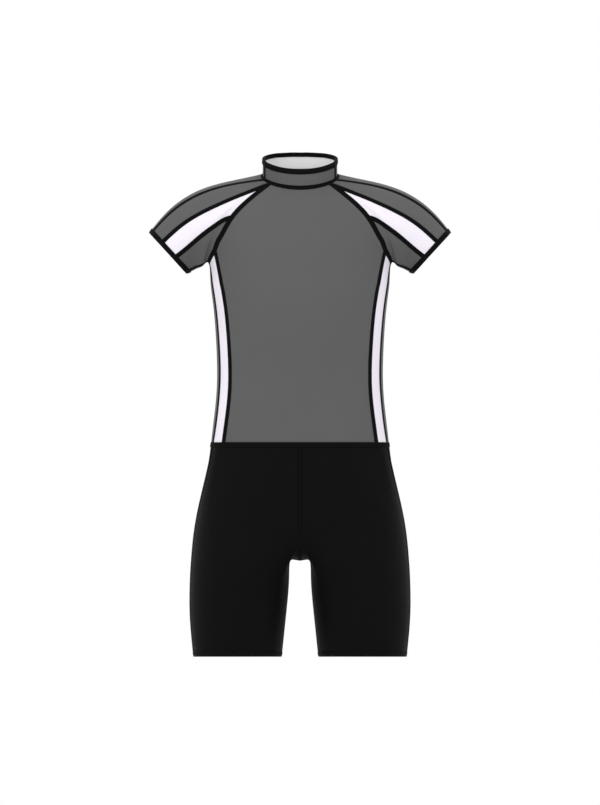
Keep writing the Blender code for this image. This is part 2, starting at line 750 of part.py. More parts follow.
def binding_profile(depth):
    """U that wraps an open edge of cloth of the given depth, outside leg first."""
    top, bottom = LAID_GAP, -depth - INSIDE_GAP
    over = -LAID_GAP - BINDING_THICK
    return [
        (BINDING_OUT, top), (BINDING_OUT, top + BINDING_THICK), (0.0, top + BINDING_THICK),
        (over, -depth / 2), (0.0, bottom - BINDING_THICK), (BINDING_IN, bottom - BINDING_THICK),
        (BINDING_IN, bottom), (-LAID_GAP, bottom), (-LAID_GAP, top),
    ]


def prism(outline, axis, start, end):
    """Straight prism: an outline of (y, z) carried along x, or of (x, y) carried along z."""
    def place(one, two, along):
        return {"x": (along, one, two), "z": (one, two, along)}[axis]

    mesh = bmesh.new()
    near = [mesh.verts.new(place(*point, start)) for point in outline]
    far = [mesh.verts.new(place(*point, end)) for point in outline]
    mesh.faces.new(near)
    mesh.faces.new(far[::-1])
    for i in range(len(outline)):
        j = (i + 1) % len(outline)
        mesh.faces.new((near[j], near[i], far[i], far[j]))
    bmesh.ops.recalc_face_normals(mesh, faces=mesh.faces)
    return mesh


# Sub-parts

def build_panels(form):
    """One closed shell for each piece of cloth, and the white lining that faces the collar."""
    for name in form[1]:
        kind = name if name in PANEL_LOOKS else name.rsplit("_", 1)[0]
        cloth_shell(form, {name}, name, PANEL_LOOKS[kind])
    cloth_shell(form, COLLAR, "collar_lining", "white_lining", CLOTH_THICK + LAID_GAP, LINING_THICK)


def build_zip(form):
    """Closed zip down the centre back. Returns the line that other trim keeps clear of."""
    def above_stop(place):
        return place.z > ZIP_BOTTOM

    path = seam(form, {"collar_back_left", "back_left"}, {"collar_back_right", "back_right"}, above_stop)
    low, high = LAID_GAP, LAID_GAP + ZIP_TAPE_THICK
    near, far = ZIP_TAPE_EDGES
    for side, sign in (("left", -1), ("right", 1)):
        profile = [(sign * near, low), (sign * near, high), (sign * far, high), (sign * far, low)]
        sweep(f"zip_tape_{side}", "zip_tape", path, profile)
    base = high + LAID_GAP
    top = base + CHAIN_THICK
    half = CHAIN_HALF_WIDTH
    crown, shoulder = half - CHAIN_BEVEL[0], top - CHAIN_BEVEL[1]
    chain = [(half, base), (half, shoulder), (crown, top), (-crown, top), (-half, shoulder), (-half, base)]
    line = path_line(path)
    end_line = line[-1] + np.array(((-far, 0.0, 0.0), (far, 0.0, 0.0)))
    sweep("zip_chain", "zip_plastic", path, chain, [(end_line, STOP_LENGTH + 2 * LAID_GAP)])

    # Bottom stop, slider and pull tab, in frames with x across, y out of the cloth and z up the zip
    stop = zip_frame(path[-1].co, path[-1].co - path[-2].co, edge_normal(path[-1].link_edges[0]))
    outline = [(half, base), (half, top), (-half, top), (-half, base)]
    make_object("zip_stop", "zip_metal", prism(outline, "z", LAID_GAP, LAID_GAP + STOP_LENGTH), stop)

    down = (path[1].co - path[0].co).normalized()
    normal = Vector((0.0, 1.0, 0.0)) - down * down.y
    slider = zip_frame(path[0].co + down * SLIDER_BELOW_RIM, down, normal)
    build_slider(slider, base, top)
    plate_top = top + LAID_GAP + SLIDER_THICK
    bar = Vector((0.0, plate_top + BRIDGE_ROOM / 2, -HINGE_BELOW)) * METRES_PER_MM
    build_tab(slider @ Matrix.Translation(bar))
    return line


def zip_frame(place, down, normal):
    """Matrix in metres at a place in millimetres, with x across, y along the normal and z upward."""
    up = -Vector(down).normalized()
    out = (normal - normal.dot(up) * up).normalized()
    turn = Matrix((out.cross(up), out, up)).transposed()
    return Matrix.Translation(Vector(place) * METRES_PER_MM) @ turn.to_4x4()


def build_slider(frame, chain_base, chain_top):
    """Slider body that wraps the chain, with the bridge that holds the pull tab."""
    inner = CHAIN_HALF_WIDTH + 2 * LAID_GAP
    half = SLIDER_WIDTH / 2
    ceiling = chain_top + LAID_GAP
    plate = ceiling + SLIDER_THICK
    body = [(half, chain_base), (half, plate), (-half, plate), (-half, chain_base), (-inner, chain_base),
            (-inner, ceiling), (inner, ceiling), (inner, chain_base)]
    slider = make_object(
        "zip_slider", "zip_metal", prism(body, "z", -SLIDER_LENGTH / 2, SLIDER_LENGTH / 2), frame
    )
    root, crown = plate - BRIDGE_THICK / 2, plate + BRIDGE_ROOM
    reach, room = BRIDGE_LENGTH / 2, BRIDGE_LENGTH / 2 - BRIDGE_THICK
    arch = [(root, reach), (crown, reach), (crown + BRIDGE_THICK, room), (crown + BRIDGE_THICK, -room),
            (crown, -reach), (root, -reach), (root, -room), (crown, -room), (crown, room), (root, room)]
    bridge_guide = make_object(
        "bridge_guide", "zip_metal", prism(arch, "x", -BRIDGE_WIDTH / 2, BRIDGE_WIDTH / 2), frame
    )
    bridge_guide.hide_render = True
    bridge_guide.display_type = "WIRE"
    union = slider.modifiers.new("bridge", "BOOLEAN")
    union.operation = "UNION"
    union.object = bridge_guide


def build_tab(hinge):
    """Pull tab: a plate with a window, hung by the bar at its top, which is on the joint's axis."""
    def loop(half_width, half_length, centre, height):
        points = []
        for k in range(TAB_POINTS):
            turn = 2 * math.pi * (k + 0.5) / TAB_POINTS
            x = math.copysign(abs(math.cos(turn)) ** (2 / TAB_POWER), math.cos(turn))
            z = math.copysign(abs(math.sin(turn)) ** (2 / TAB_POWER), math.sin(turn))
            points.append((x * half_width, height, centre + z * half_length))
        return points

    window_width, window_length = TAB_WINDOW
    window_centre = -(TAB_BAR + window_length) / 2
    plate_centre = (TAB_BAR - TAB_LENGTH) / 2
    mesh = bmesh.new()
    loops = []
    for half_width, half_length, centre in (
        (TAB_WIDTH / 2, TAB_LENGTH / 2, plate_centre), (window_width / 2, window_length / 2, window_centre)
    ):
        for height in (-TAB_THICK / 2, TAB_THICK / 2):
            loops.append([mesh.verts.new(place) for place in loop(half_width, half_length, centre, height)])
    plate_low, plate_high, window_low, window_high = loops
    for one, two in ((plate_low, plate_high), (plate_high, window_high), (window_high, window_low),
                     (window_low, plate_low)):
        for k in range(TAB_POINTS):
            after = (k + 1) % TAB_POINTS
            mesh.faces.new((one[k], one[after], two[after], two[k]))
    bmesh.ops.recalc_face_normals(mesh, faces=mesh.faces)
    make_object("pull_tab", "zip_metal", mesh, hinge)


def build_bindings(form, zip_line):
    """Bindings on the collar's rim, the cuffs and the legs. Returns the lines that covers stop short of."""
    edges = {
        "collar_binding": (border(form, lambda place: place.z > 0), COLLAR_DEPTH),
        "cuff_binding_left": (border(form, lambda place: place.x > CUFF_INSIDE), CLOTH_THICK),
        "cuff_binding_right": (border(form, lambda place: place.x < -CUFF_INSIDE), CLOTH_THICK),
        "leg_binding_left": (border(form, lambda place: place.z < LEG_LOW and place.x > 0), CLOTH_THICK),
        "leg_binding_right": (border(form, lambda place: place.z < LEG_LOW and place.x < 0), CLOTH_THICK),
    }
    keep_off = [(zip_line, ZIP_TAPE_EDGES[1] + LAID_GAP)]
    for name, (path, depth) in edges.items():
        sweep(name, "black_binding", path, binding_profile(depth), keep_off if depth == COLLAR_DEPTH else ())
    return [(path_line(path), BINDING_OUT + LAID_GAP) for path, _ in edges.values()]


def build_covers(form, blockers):
    """Flat cover seams. Each stops short of those laid before it. The first blocker is the zip."""
    def cover(name, path, width=COVER_WIDTH, end_rise=0.0):
        sweep(name, "black_cover", path, cover_profile(width), blockers, end_rise)
        blockers.append((path_line(path), width / 2 + COVER_CLEAR))

    sides = (("left", 1), ("right", -1))
    cover("neck_seam", seam(form, COLLAR, BODY | SLEEVES))
    for side, _ in sides:
        sleeve = {name for name in SLEEVES if name.endswith(side)}
        cover(f"raglan_seam_{side}", seam(form, BODY, sleeve), end_rise=RAGLAN_RISE)
    cover("waist_seam", seam(form, BODY, SHORTS))
    fronts = {"shorts_front_left", "shorts_front_right"}
    backs = {"shorts_back_left", "shorts_back_right"}
    cover("inner_leg_seam", seam(form, fronts, backs, lambda place: abs(place.x) < OUTSIDE_X), NARROW_WIDTH)
    for side, sign in sides:
        def outer(place, sign=sign):
            return place.x * sign > OUTSIDE_X

        joins = {
            "shoulder_seam": ({f"sleeve_upper_{side}"}, {f"sleeve_back_{side}"}, COVER_WIDTH),
            "stripe_seam_upper": ({f"sleeve_upper_{side}"}, {f"sleeve_stripe_{side}"}, STRIPE_WIDTH),
            "stripe_seam_lower": ({f"sleeve_stripe_{side}"}, {f"sleeve_lower_{side}"}, STRIPE_WIDTH),
            "underarm_seam": ({f"sleeve_lower_{side}"}, {f"sleeve_back_{side}"}, STRIPE_WIDTH),
            "side_front_seam": ({"front_body"}, {f"side_stripe_{side}"}, STRIPE_WIDTH),
            "side_seam": ({f"side_stripe_{side}"}, {f"back_{side}"}, COVER_WIDTH),
            "collar_seam": ({"collar_front"}, {f"collar_back_{side}"}, STRIPE_WIDTH),
        }
        for name, (first, second, width) in joins.items():
            cover(f"{name}_{side}", seam(form, first, second), width)
        cover(f"outer_leg_seam_{side}", seam(form, fronts, backs, outer), NARROW_WIDTH)

    def below_zip(place):
        return place.z < ZIP_BOTTOM

    # The centre back seam runs straight on from the zip, so it only keeps clear of the tapes' ends
    zip_line = blockers.pop(0)[0]
    across = np.array(((-ZIP_TAPE_EDGES[1], 0.0, 0.0), (ZIP_TAPE_EDGES[1], 0.0, 0.0)))
    blockers.append((zip_line[-1] + across, COVER_CLEAR + LAID_GAP))
    cover("centre_back_seam", seam(form, {"back_left"}, {"back_right"}, below_zip), NARROW_WIDTH)
    cover("shorts_front_seam", seam(form, {"shorts_front_left"}, {"shorts_front_right"}), NARROW_WIDTH)
    cover("shorts_back_seam", seam(form, {"shorts_back_left"}, {"shorts_back_right"}), NARROW_WIDTH)


def main():
    for item in list(bpy.data.objects):
        bpy.data.objects.remove(item)
    form = fitted_form(build_cage())
    build_panels(form)
    zip_line = build_zip(form)
    ends = build_bindings(form, zip_line)
    build_covers(form, [(zip_line, ZIP_TAPE_EDGES[1] + LAID_GAP), *ends])
    form[0].free()


if __name__ == "__main__":
    main()
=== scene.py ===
# %% [markdown]
# # A short-sleeved unitard in Blender
#
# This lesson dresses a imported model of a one-piece sports garment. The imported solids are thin, closed
# shells with large flat faces. Each one is taken over by a finer piece of the same shape, with the stitches,
# bindings and zip teeth that a maker would add. The cloth comes first, because all the trim lies on it.

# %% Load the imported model
import json
import math

import bmesh
import bpy
import numpy as np
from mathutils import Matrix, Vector
from mathutils.bvhtree import BVHTree
from mathutils.kdtree import KDTree

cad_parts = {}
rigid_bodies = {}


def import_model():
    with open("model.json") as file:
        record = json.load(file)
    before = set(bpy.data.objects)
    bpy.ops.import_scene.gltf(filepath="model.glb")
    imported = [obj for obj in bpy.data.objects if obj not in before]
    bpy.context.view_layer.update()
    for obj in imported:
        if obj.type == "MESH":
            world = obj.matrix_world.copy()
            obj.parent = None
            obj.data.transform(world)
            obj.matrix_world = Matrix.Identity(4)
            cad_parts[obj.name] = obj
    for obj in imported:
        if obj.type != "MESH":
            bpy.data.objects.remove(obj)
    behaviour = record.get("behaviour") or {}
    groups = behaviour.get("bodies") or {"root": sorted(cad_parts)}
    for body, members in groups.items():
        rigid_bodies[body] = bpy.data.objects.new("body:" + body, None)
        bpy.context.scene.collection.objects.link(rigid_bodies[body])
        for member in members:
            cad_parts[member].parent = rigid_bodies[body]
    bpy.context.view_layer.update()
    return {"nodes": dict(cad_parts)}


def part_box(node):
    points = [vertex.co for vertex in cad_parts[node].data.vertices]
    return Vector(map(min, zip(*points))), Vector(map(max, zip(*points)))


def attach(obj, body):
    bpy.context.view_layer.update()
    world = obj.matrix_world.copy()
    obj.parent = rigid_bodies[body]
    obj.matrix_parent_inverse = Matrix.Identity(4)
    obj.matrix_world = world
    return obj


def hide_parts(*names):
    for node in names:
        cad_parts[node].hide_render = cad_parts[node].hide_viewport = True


for item in list(bpy.data.objects):
    bpy.data.objects.remove(item)
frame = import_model()
MM = 0.001
print("packed nodes:", len(frame["nodes"]))

# %% [markdown]
# ## Camera, floor and light
#
# The garment was drawn flat on, without perspective, so the camera is orthographic and level. Its scale is
# the height of the view in metres. The drawing shows the garment in the air, so the floor lies well below
# it, just out of the view. A white world lights it evenly from all round, a wide lamp above and to the left
# gives the body its roundness, and a weaker one on the right keeps the shaded side open.

# %% Camera, floor and light
VIEW_HEIGHT = 1.40875
VIEW_MIDDLE = -0.396
CAMERA_AWAY = 3.0
FLOOR_BELOW = -1.13
FLOOR_SIZE = 9.0
LAMP_AIM = (0, 0, -0.35)
LAMP_SIZE = 1.6
KEY_PLACE, KEY_POWER = (-1.3, -2.4, 1.5), 25.0
FILL_PLACE, FILL_POWER = (1.7, -2.2, 1.1), 10.0


def deselect_all():
    if bpy.context.mode != "OBJECT":
        bpy.ops.object.mode_set(mode="OBJECT")
    bpy.ops.object.select_all(action="DESELECT")


def work_on(piece):
    """Make one object the only selected and the active one."""
    deselect_all()
    piece.select_set(True)
    bpy.context.view_layer.objects.active = piece


deselect_all()
bpy.ops.object.camera_add(location=(0, -CAMERA_AWAY, VIEW_MIDDLE), rotation=(math.pi / 2, 0, 0))
camera = bpy.context.object
camera.name = "front_camera"
camera.data.type = "ORTHO"
camera.data.ortho_scale = VIEW_HEIGHT
bpy.context.scene.camera = camera

deselect_all()
bpy.ops.mesh.primitive_plane_add(size=FLOOR_SIZE, location=(0, 0, FLOOR_BELOW))
floor = bpy.context.object
floor.name = "studio_floor"

world = bpy.data.worlds.new("studio")
world.use_nodes = True
world.node_tree.nodes["Background"].inputs["Color"].default_value = (1, 1, 1, 1)
world.node_tree.nodes["Background"].inputs["Strength"].default_value = 1.0
bpy.context.scene.world = world
bpy.context.scene.view_settings.view_transform = "Standard"


def add_lamp(name, place, power):
    """A square area lamp at a place, turned to face the garment."""
    deselect_all()
    turn = (Vector(LAMP_AIM) - Vector(place)).to_track_quat("-Z", "Y").to_euler()
    bpy.ops.object.light_add(type="AREA", location=place, rotation=turn)
    lamp = bpy.context.object
    lamp.name = name
    lamp.data.size = LAMP_SIZE
    lamp.data.energy = power


add_lamp("key_lamp", KEY_PLACE, KEY_POWER)
add_lamp("fill_lamp", FILL_PLACE, FILL_POWER)
print("camera sees", VIEW_HEIGHT, "m from top to bottom")

# %% [markdown]
# ## Shader groups for cloth and thread
#
# Several finishes share an effect: knitted loops, a little unevenness in the dye, and the ribs of a folded
# binding. Each effect is a node group with named inputs and outputs, so that every material can use it with
# its own sizes. A group gives only numbers, and the Principled shader stays in each material. The patterns
# follow UV maps that are in metres, so a loop is the same size on every piece.


# %% Small helpers for node trees
def group_tree(name, inputs, outputs):
    """New shader group. inputs is a table of name: (socket type, default), outputs of name: type."""
    tree = bpy.data.node_groups.new(name, "ShaderNodeTree")
    for label, (kind, value) in inputs.items():
        socket = tree.interface.new_socket(label, in_out="INPUT", socket_type=kind)
        if value is not None:
            socket.default_value = value
    for label, kind in outputs.items():
        tree.interface.new_socket(label, in_out="OUTPUT", socket_type=kind)
    return tree, tree.nodes.new("NodeGroupInput"), tree.nodes.new("NodeGroupOutput")


def work_out(tree, operation, *values):
    """Math node on sockets or numbers. Returns its output socket."""
    node = tree.nodes.new("ShaderNodeMath")
    node.operation = operation
    for socket, value in zip(node.inputs, values):
        if isinstance(value, (int, float)):
            socket.default_value = value
        else:
            tree.links.new(value, socket)
    return node.outputs[0]


# %% [markdown]
# ### Knitted loops
#
# Jersey is columns of small V-shaped loops. Along each column the loops repeat, and within a column both
# legs of the V slope down to its middle. A sine along the sloping direction, dimmed towards the gaps between
# the columns, gives the height of the yarn.

# %% Group: knitted loops
SLOPE = 1.15
GAP_DIM = 0.45
COLUMN_MIDDLE = 0.5
LEG_MIDDLE = 0.25
COLUMN, ROW = 0.9 * MM, 0.7 * MM

knit, entry, leave = group_tree(
    "Knitted loops",
    {
        "UV": ("NodeSocketVector", None),
        "Column": ("NodeSocketFloat", COLUMN), "Row": ("NodeSocketFloat", ROW),
    },
    {"Height": "NodeSocketFloat"},
)
split = knit.nodes.new("ShaderNodeSeparateXYZ")
knit.links.new(entry.outputs["UV"], split.inputs[0])
columns = work_out(knit, "DIVIDE", split.outputs["X"], entry.outputs["Column"])
rows = work_out(knit, "DIVIDE", split.outputs["Y"], entry.outputs["Row"])
aside = work_out(knit, "SUBTRACT", work_out(knit, "FRACT", columns), COLUMN_MIDDLE)
across = work_out(knit, "ABSOLUTE", aside)
along = work_out(knit, "ADD", rows, work_out(knit, "MULTIPLY", across, SLOPE))
yarn = work_out(knit, "ABSOLUTE", work_out(knit, "SINE", work_out(knit, "MULTIPLY", along, math.pi)))
off_leg = work_out(knit, "ABSOLUTE", work_out(knit, "SUBTRACT", across, LEG_MIDDLE))
dimmed = work_out(knit, "MULTIPLY", off_leg, GAP_DIM / LEG_MIDDLE)
height = work_out(knit, "MULTIPLY", yarn, work_out(knit, "SUBTRACT", 1.0, dimmed))
knit.links.new(height, leave.inputs["Height"])

# %% [markdown]
# ### Uneven dye
#
# Real cloth is never one flat colour. Two soft noises, one as large as a hand and one as fine as the fibre,
# lighten and darken it by a few hundredths.

# %% Group: uneven dye
CLOUD_SCALE, CLOUD_DETAIL = 9.0, 3.0
FIBRE_SCALE = 900.0

dye, entry, leave = group_tree(
    "Uneven dye",
    {"Colour": ("NodeSocketColor", (0.5, 0.5, 0.5, 1)), "Amount": ("NodeSocketFloat", 0.05)},
    {"Colour": "NodeSocketColor", "Cloud": "NodeSocketFloat"},
)
place = dye.nodes.new("ShaderNodeTexCoord")
cloud = dye.nodes.new("ShaderNodeTexNoise")
cloud.inputs["Scale"].default_value = CLOUD_SCALE
cloud.inputs["Detail"].default_value = CLOUD_DETAIL
fibre = dye.nodes.new("ShaderNodeTexNoise")
fibre.inputs["Scale"].default_value = FIBRE_SCALE
for noise in (cloud, fibre):
    dye.links.new(place.outputs["Object"], noise.inputs["Vector"])
both = work_out(dye, "ADD", cloud.outputs["Fac"], fibre.outputs["Fac"])
# Each noise has a mean of a half, so both together vary round 1
shift = work_out(dye, "MULTIPLY", work_out(dye, "SUBTRACT", both, 1.0), entry.outputs["Amount"])
scale = dye.nodes.new("ShaderNodeVectorMath")
scale.operation = "SCALE"
dye.links.new(entry.outputs["Colour"], scale.inputs[0])
dye.links.new(work_out(dye, "ADD", shift, 1.0), scale.inputs["Scale"])
dye.links.new(scale.outputs["Vector"], leave.inputs["Colour"])
dye.links.new(cloud.outputs["Fac"], leave.inputs["Cloud"])

# %% [markdown]
# ### Ribs
#
# Folded elastic binding and zip tape are woven with fine ribs along them, crossed by finer picks. The same
# group gives a twisted thread when the ribs are set close and slanting.

# %% Group: ribs
RIB_SHARE, PICK_SHARE = 0.7, 0.3

ribs, entry, leave = group_tree(
    "Ribs",
    {
        "UV": ("NodeSocketVector", None), "Rib": ("NodeSocketFloat", 1.2 * MM),
        "Pick": ("NodeSocketFloat", 0.8 * MM), "Slant": ("NodeSocketFloat", 0.0),
    },
    {"Height": "NodeSocketFloat"},
)
split = ribs.nodes.new("ShaderNodeSeparateXYZ")
ribs.links.new(entry.outputs["UV"], split.inputs[0])
slanted = work_out(ribs, "MULTIPLY", split.outputs["Y"], entry.outputs["Slant"])
over = work_out(ribs, "DIVIDE", work_out(ribs, "ADD", split.outputs["X"], slanted), entry.outputs["Rib"])
rib = work_out(ribs, "ABSOLUTE", work_out(ribs, "SINE", work_out(ribs, "MULTIPLY", over, math.pi)))
picks = work_out(ribs, "DIVIDE", split.outputs["Y"], entry.outputs["Pick"])
pick = work_out(ribs, "ABSOLUTE", work_out(ribs, "SINE", work_out(ribs, "MULTIPLY", picks, math.pi)))
height = work_out(ribs, "MULTIPLY_ADD", rib, RIB_SHARE, work_out(ribs, "MULTIPLY", pick, PICK_SHARE))
ribs.links.new(height, leave.inputs["Height"])

# %% [markdown]
# ## Materials
#
# Each material starts from the Principled shader. Fixed numbers, such as its sheen, are set on the shader's
# own sockets. Colour and bump come from the groups above, through the piece's own UV map.

# %% Material helpers
SHEEN_ROUGHNESS = 0.5


def start_material(name, roughness, gloss, sheen=0.0):
    """A Principled material with its fixed numbers set. Returns the material and its shader."""
    material = bpy.data.materials.new(name)
    material.use_nodes = True
    shader = material.node_tree.nodes["Principled BSDF"]
    shader.inputs["Roughness"].default_value = roughness
    shader.inputs["Specular IOR Level"].default_value = gloss
    shader.inputs["Sheen Weight"].default_value = sheen
    shader.inputs["Sheen Roughness"].default_value = SHEEN_ROUGHNESS
    return material, shader


def use_group(material, tree, **values):
    """Put a group in a material, fed by the UV map where it asks for one."""
    nodes, links = material.node_tree.nodes, material.node_tree.links
    node = nodes.new("ShaderNodeGroup")
    node.node_tree = tree
    for label, value in values.items():
        node.inputs[label].default_value = value
    if "UV" in node.inputs:
        links.new(nodes.new("ShaderNodeTexCoord").outputs["UV"], node.inputs["UV"])
    return node


def dyed(material, shader, colour, amount):
    node = use_group(material, dye, Colour=(*colour, 1), Amount=amount)
    material.node_tree.links.new(node.outputs["Colour"], shader.inputs["Base Color"])


def raised(material, shader, height, distance, strength):
    """Bump the shader's normal by a height socket."""
    bump = material.node_tree.nodes.new("ShaderNodeBump")
    bump.inputs["Distance"].default_value = distance
    bump.inputs["Strength"].default_value = strength
    material.node_tree.links.new(height, bump.inputs["Height"])
    material.node_tree.links.new(bump.outputs["Normal"], shader.inputs["Normal"])


# %% Cloth and trim materials
YARN_DEPTH, YARN_STRENGTH = 0.12 * MM, 0.6
CLOTH_UNEVEN = 0.10
JERSEY_ROUGHNESS = 0.72
PALE_GLOSS, PALE_SHEEN = 0.25, 0.05
BLACK_GLOSS, BLACK_SHEEN = 0.06, 0.004


def jersey(name, colour, gloss, sheen, column=COLUMN, row=ROW):
    """Knitted cloth: dyed colour and raised loops."""
    material, shader = start_material(name, JERSEY_ROUGHNESS, gloss, sheen)
    dyed(material, shader, colour, CLOTH_UNEVEN)
    loops = use_group(material, knit, Column=column, Row=row)
    raised(material, shader, loops.outputs["Height"], YARN_DEPTH, YARN_STRENGTH)
    return material


def ribbed(name, colour, roughness, rib, pick, slant=0.0):
    """Woven tape, binding or thread: dyed colour and raised ribs."""
    material, shader = start_material(name, roughness, BLACK_GLOSS, BLACK_SHEEN)
    dyed(material, shader, colour, CLOTH_UNEVEN)
    woven = use_group(material, ribs, Rib=rib, Pick=pick, Slant=slant)
    raised(material, shader, woven.outputs["Height"], YARN_DEPTH, YARN_STRENGTH)
    return material


GREY = (0.087, 0.087, 0.0893)
WHITE = (0.775, 0.735, 0.805)
BLACK = (0.0025, 0.0025, 0.0026)
LINING = (0.93, 0.93, 0.93)
THREAD_BLACK = (0.004, 0.004, 0.0042)
TAPE_BLACK = (0.003, 0.003, 0.003)
NYLON_BLACK = (0.006, 0.006, 0.006)
ENAMEL_BLACK = (0.012, 0.012, 0.013)
FLOOR_PALE = (0.86, 0.86, 0.86)
HARD_GLOSS = 0.5
HARD_UNEVEN, HARD_STRENGTH = 0.3, 0.4
FLOOR_ROUGHNESS, FLOOR_UNEVEN = 0.9, 0.02

grey_jersey = jersey("grey jersey", GREY, PALE_GLOSS, PALE_SHEEN)
white_jersey = jersey("white jersey", WHITE, PALE_GLOSS, PALE_SHEEN)
black_jersey = jersey("black jersey", BLACK, BLACK_GLOSS, BLACK_SHEEN)
white_lining = jersey("white lining", LINING, PALE_GLOSS, PALE_SHEEN, column=0.7 * MM, row=0.55 * MM)
cover_base = ribbed("seam base", BLACK, roughness=0.8, rib=0.9 * MM, pick=0.6 * MM)
thread = ribbed("twisted thread", THREAD_BLACK, roughness=0.5, rib=0.35 * MM, pick=0.5 * MM, slant=0.8)
binding_cloth = ribbed("folded binding", BLACK, roughness=0.7, rib=1.3 * MM, pick=0.7 * MM)
tape_cloth = ribbed("zip tape", TAPE_BLACK, roughness=0.75, rib=0.8 * MM, pick=0.5 * MM)


def hard_finish(name, colour, roughness, metallic, cloud_depth):
    """Enamel or nylon: a dark, slightly uneven surface."""
    material, shader = start_material(name, roughness, HARD_GLOSS)
    shader.inputs["Metallic"].default_value = metallic
    node = use_group(material, dye, Colour=(*colour, 1), Amount=HARD_UNEVEN)
    material.node_tree.links.new(node.outputs["Colour"], shader.inputs["Base Color"])
    raised(material, shader, node.outputs["Cloud"], cloud_depth, HARD_STRENGTH)
    return material


nylon = hard_finish("nylon teeth", NYLON_BLACK, roughness=0.35, metallic=0.0, cloud_depth=0.05 * MM)
enamel = hard_finish("black enamel", ENAMEL_BLACK, roughness=0.3, metallic=0.4, cloud_depth=0.1 * MM)

floor_paint, shader = start_material("pale floor", FLOOR_ROUGHNESS, PALE_GLOSS)
dyed(floor_paint, shader, FLOOR_PALE, FLOOR_UNEVEN)
floor.data.materials.append(floor_paint)

# %% [markdown]
# ## Cloth panels
#
# Each cut piece of cloth is a closed shell: an outer face, an inner face and a narrow rim between them. The
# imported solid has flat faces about 25 mm across. A copy of it is welded, its triangles are joined back into
# quads, and a Subdivision Surface rounds it. That surface normally shrinks inside its cage, so the cage is
# first moved out until the smooth surface passes through the points of the solid. The rim's edges are
# creased, so the seam lines stay where they are and the panels still meet.

# %% Panel helpers
OUTER, INNER, RIM = 0, 1, 2
WELD = 0.02 * MM
QUAD_ANGLE = math.radians(50)
RIM_EDGE = 2.8 * MM
CORNER_TURN = math.radians(30)
FIT_ROUNDS = 10
FINE_LEVELS = 2
LOOK_FROM = 3 * MM


def welded_copy(node, name):
    """A new object with a CAD node's shape, welded, with its triangles joined into quads."""
    mesh = frame["nodes"][node].data.copy()
    mesh.name = name
    mesh.materials.clear()
    piece = bpy.data.objects.new(name, mesh)
    bpy.context.scene.collection.objects.link(piece)
    work_on(piece)
    bpy.ops.mesh.customdata_custom_splitnormals_clear()
    bpy.ops.object.mode_set(mode="EDIT")
    bpy.ops.mesh.select_all(action="SELECT")
    bpy.ops.mesh.remove_doubles(threshold=WELD)
    bpy.ops.mesh.tris_convert_to_quads(face_threshold=QUAD_ANGLE, shape_threshold=math.pi)
    bpy.ops.object.mode_set(mode="OBJECT")
    return piece


def islands(faces):
    """Groups of faces joined by shared edges."""
    left = set(faces)
    groups = []
    while left:
        group = [left.pop()]
        for face in group:
            for edge in face.edges:
                for other in edge.link_faces:
                    if other in left:
                        left.remove(other)
                        group.append(other)
        groups.append(group)
    return groups


def packed_tree(nodes):
    places, faces = [], []
    for node in nodes:
        start = len(places)
        mesh = frame["nodes"][node].data
        places.extend(vertex.co[:] for vertex in mesh.vertices)
        faces.extend([start + number for number in face.vertices] for face in mesh.polygons)
    return BVHTree.FromPolygons(places, faces)


def seen_by_others(wall, others):
    """Part of a wall's faces that look onto other cloth, as the inside of a garment does."""
    hits = 0
    for face in wall:
        start = face.calc_center_median() + face.normal * LOOK_FROM
        hits += others.ray_cast(start, face.normal)[0] is not None
    return hits / len(wall)


def mark_sides(piece, others):
    """Give the outer face, inner face and rim their material numbers, and crease and seam the rim."""
    skin = bmesh.new()
    skin.from_mesh(piece.data)
    crease = skin.edges.layers.float.new("crease_edge")
    rim = [face for face in skin.faces if min(edge.calc_length() for edge in face.edges) < RIM_EDGE]
    walls = islands(set(skin.faces) - set(rim))
    walls.sort(key=lambda wall: seen_by_others(wall, others))
    for kind, group in ((OUTER, walls[0]), (INNER, walls[1]), (RIM, rim)):
        for face in group:
            face.material_index = kind
            face.smooth = True
    for edge in skin.edges:
        kinds = {face.material_index for face in edge.link_faces}
        corner = kinds == {RIM} and edge.calc_face_angle(0.0) > CORNER_TURN
        edge[crease] = 1.0 if len(kinds) == 2 or corner else 0.0
        edge.seam = len(kinds) == 2 or corner
    quads = sum(len(face.verts) == 4 for face in skin.faces)
    counts = (len(walls), quads, len(skin.faces))
    skin.to_mesh(piece.data)
    skin.free()
    return counts


def places_of(mesh):
    found = np.empty(len(mesh.vertices) * 3)
    mesh.vertices.foreach_get("co", found)
    return found.reshape(-1, 3)


def fit_smooth(piece):
    """Subdivision Surface whose smooth form passes through the mesh's points."""
    smooth = piece.modifiers.new("smooth", "SUBSURF")
    smooth.levels = smooth.render_levels = 1
    target = places_of(piece.data)
    cage = target.copy()
    for _ in range(FIT_ROUNDS):
        seen = piece.evaluated_get(bpy.context.evaluated_depsgraph_get())
        cage += target - places_of(seen.data)[:len(target)]
        piece.data.vertices.foreach_set("co", cage.ravel())
        piece.data.update()
        bpy.context.view_layer.update()
    smooth.levels = smooth.render_levels = FINE_LEVELS


# %% [markdown]
# ### Laying the pieces flat
#
# Cloth is cut flat, so each panel is unwrapped along its rim, as if the seams were opened. The flat shape is
# scaled to real metres and turned until the knitted columns run down the body or along the sleeve. Its size
# is also the size of the cut that the piece needs.

# %% Flat patterns
UNWRAP_MARGIN = 0.02
SLEEVE_WAY = Vector((0.739, 0.0, -0.674))
DOWN = Vector((0.0, 0.0, -1.0))


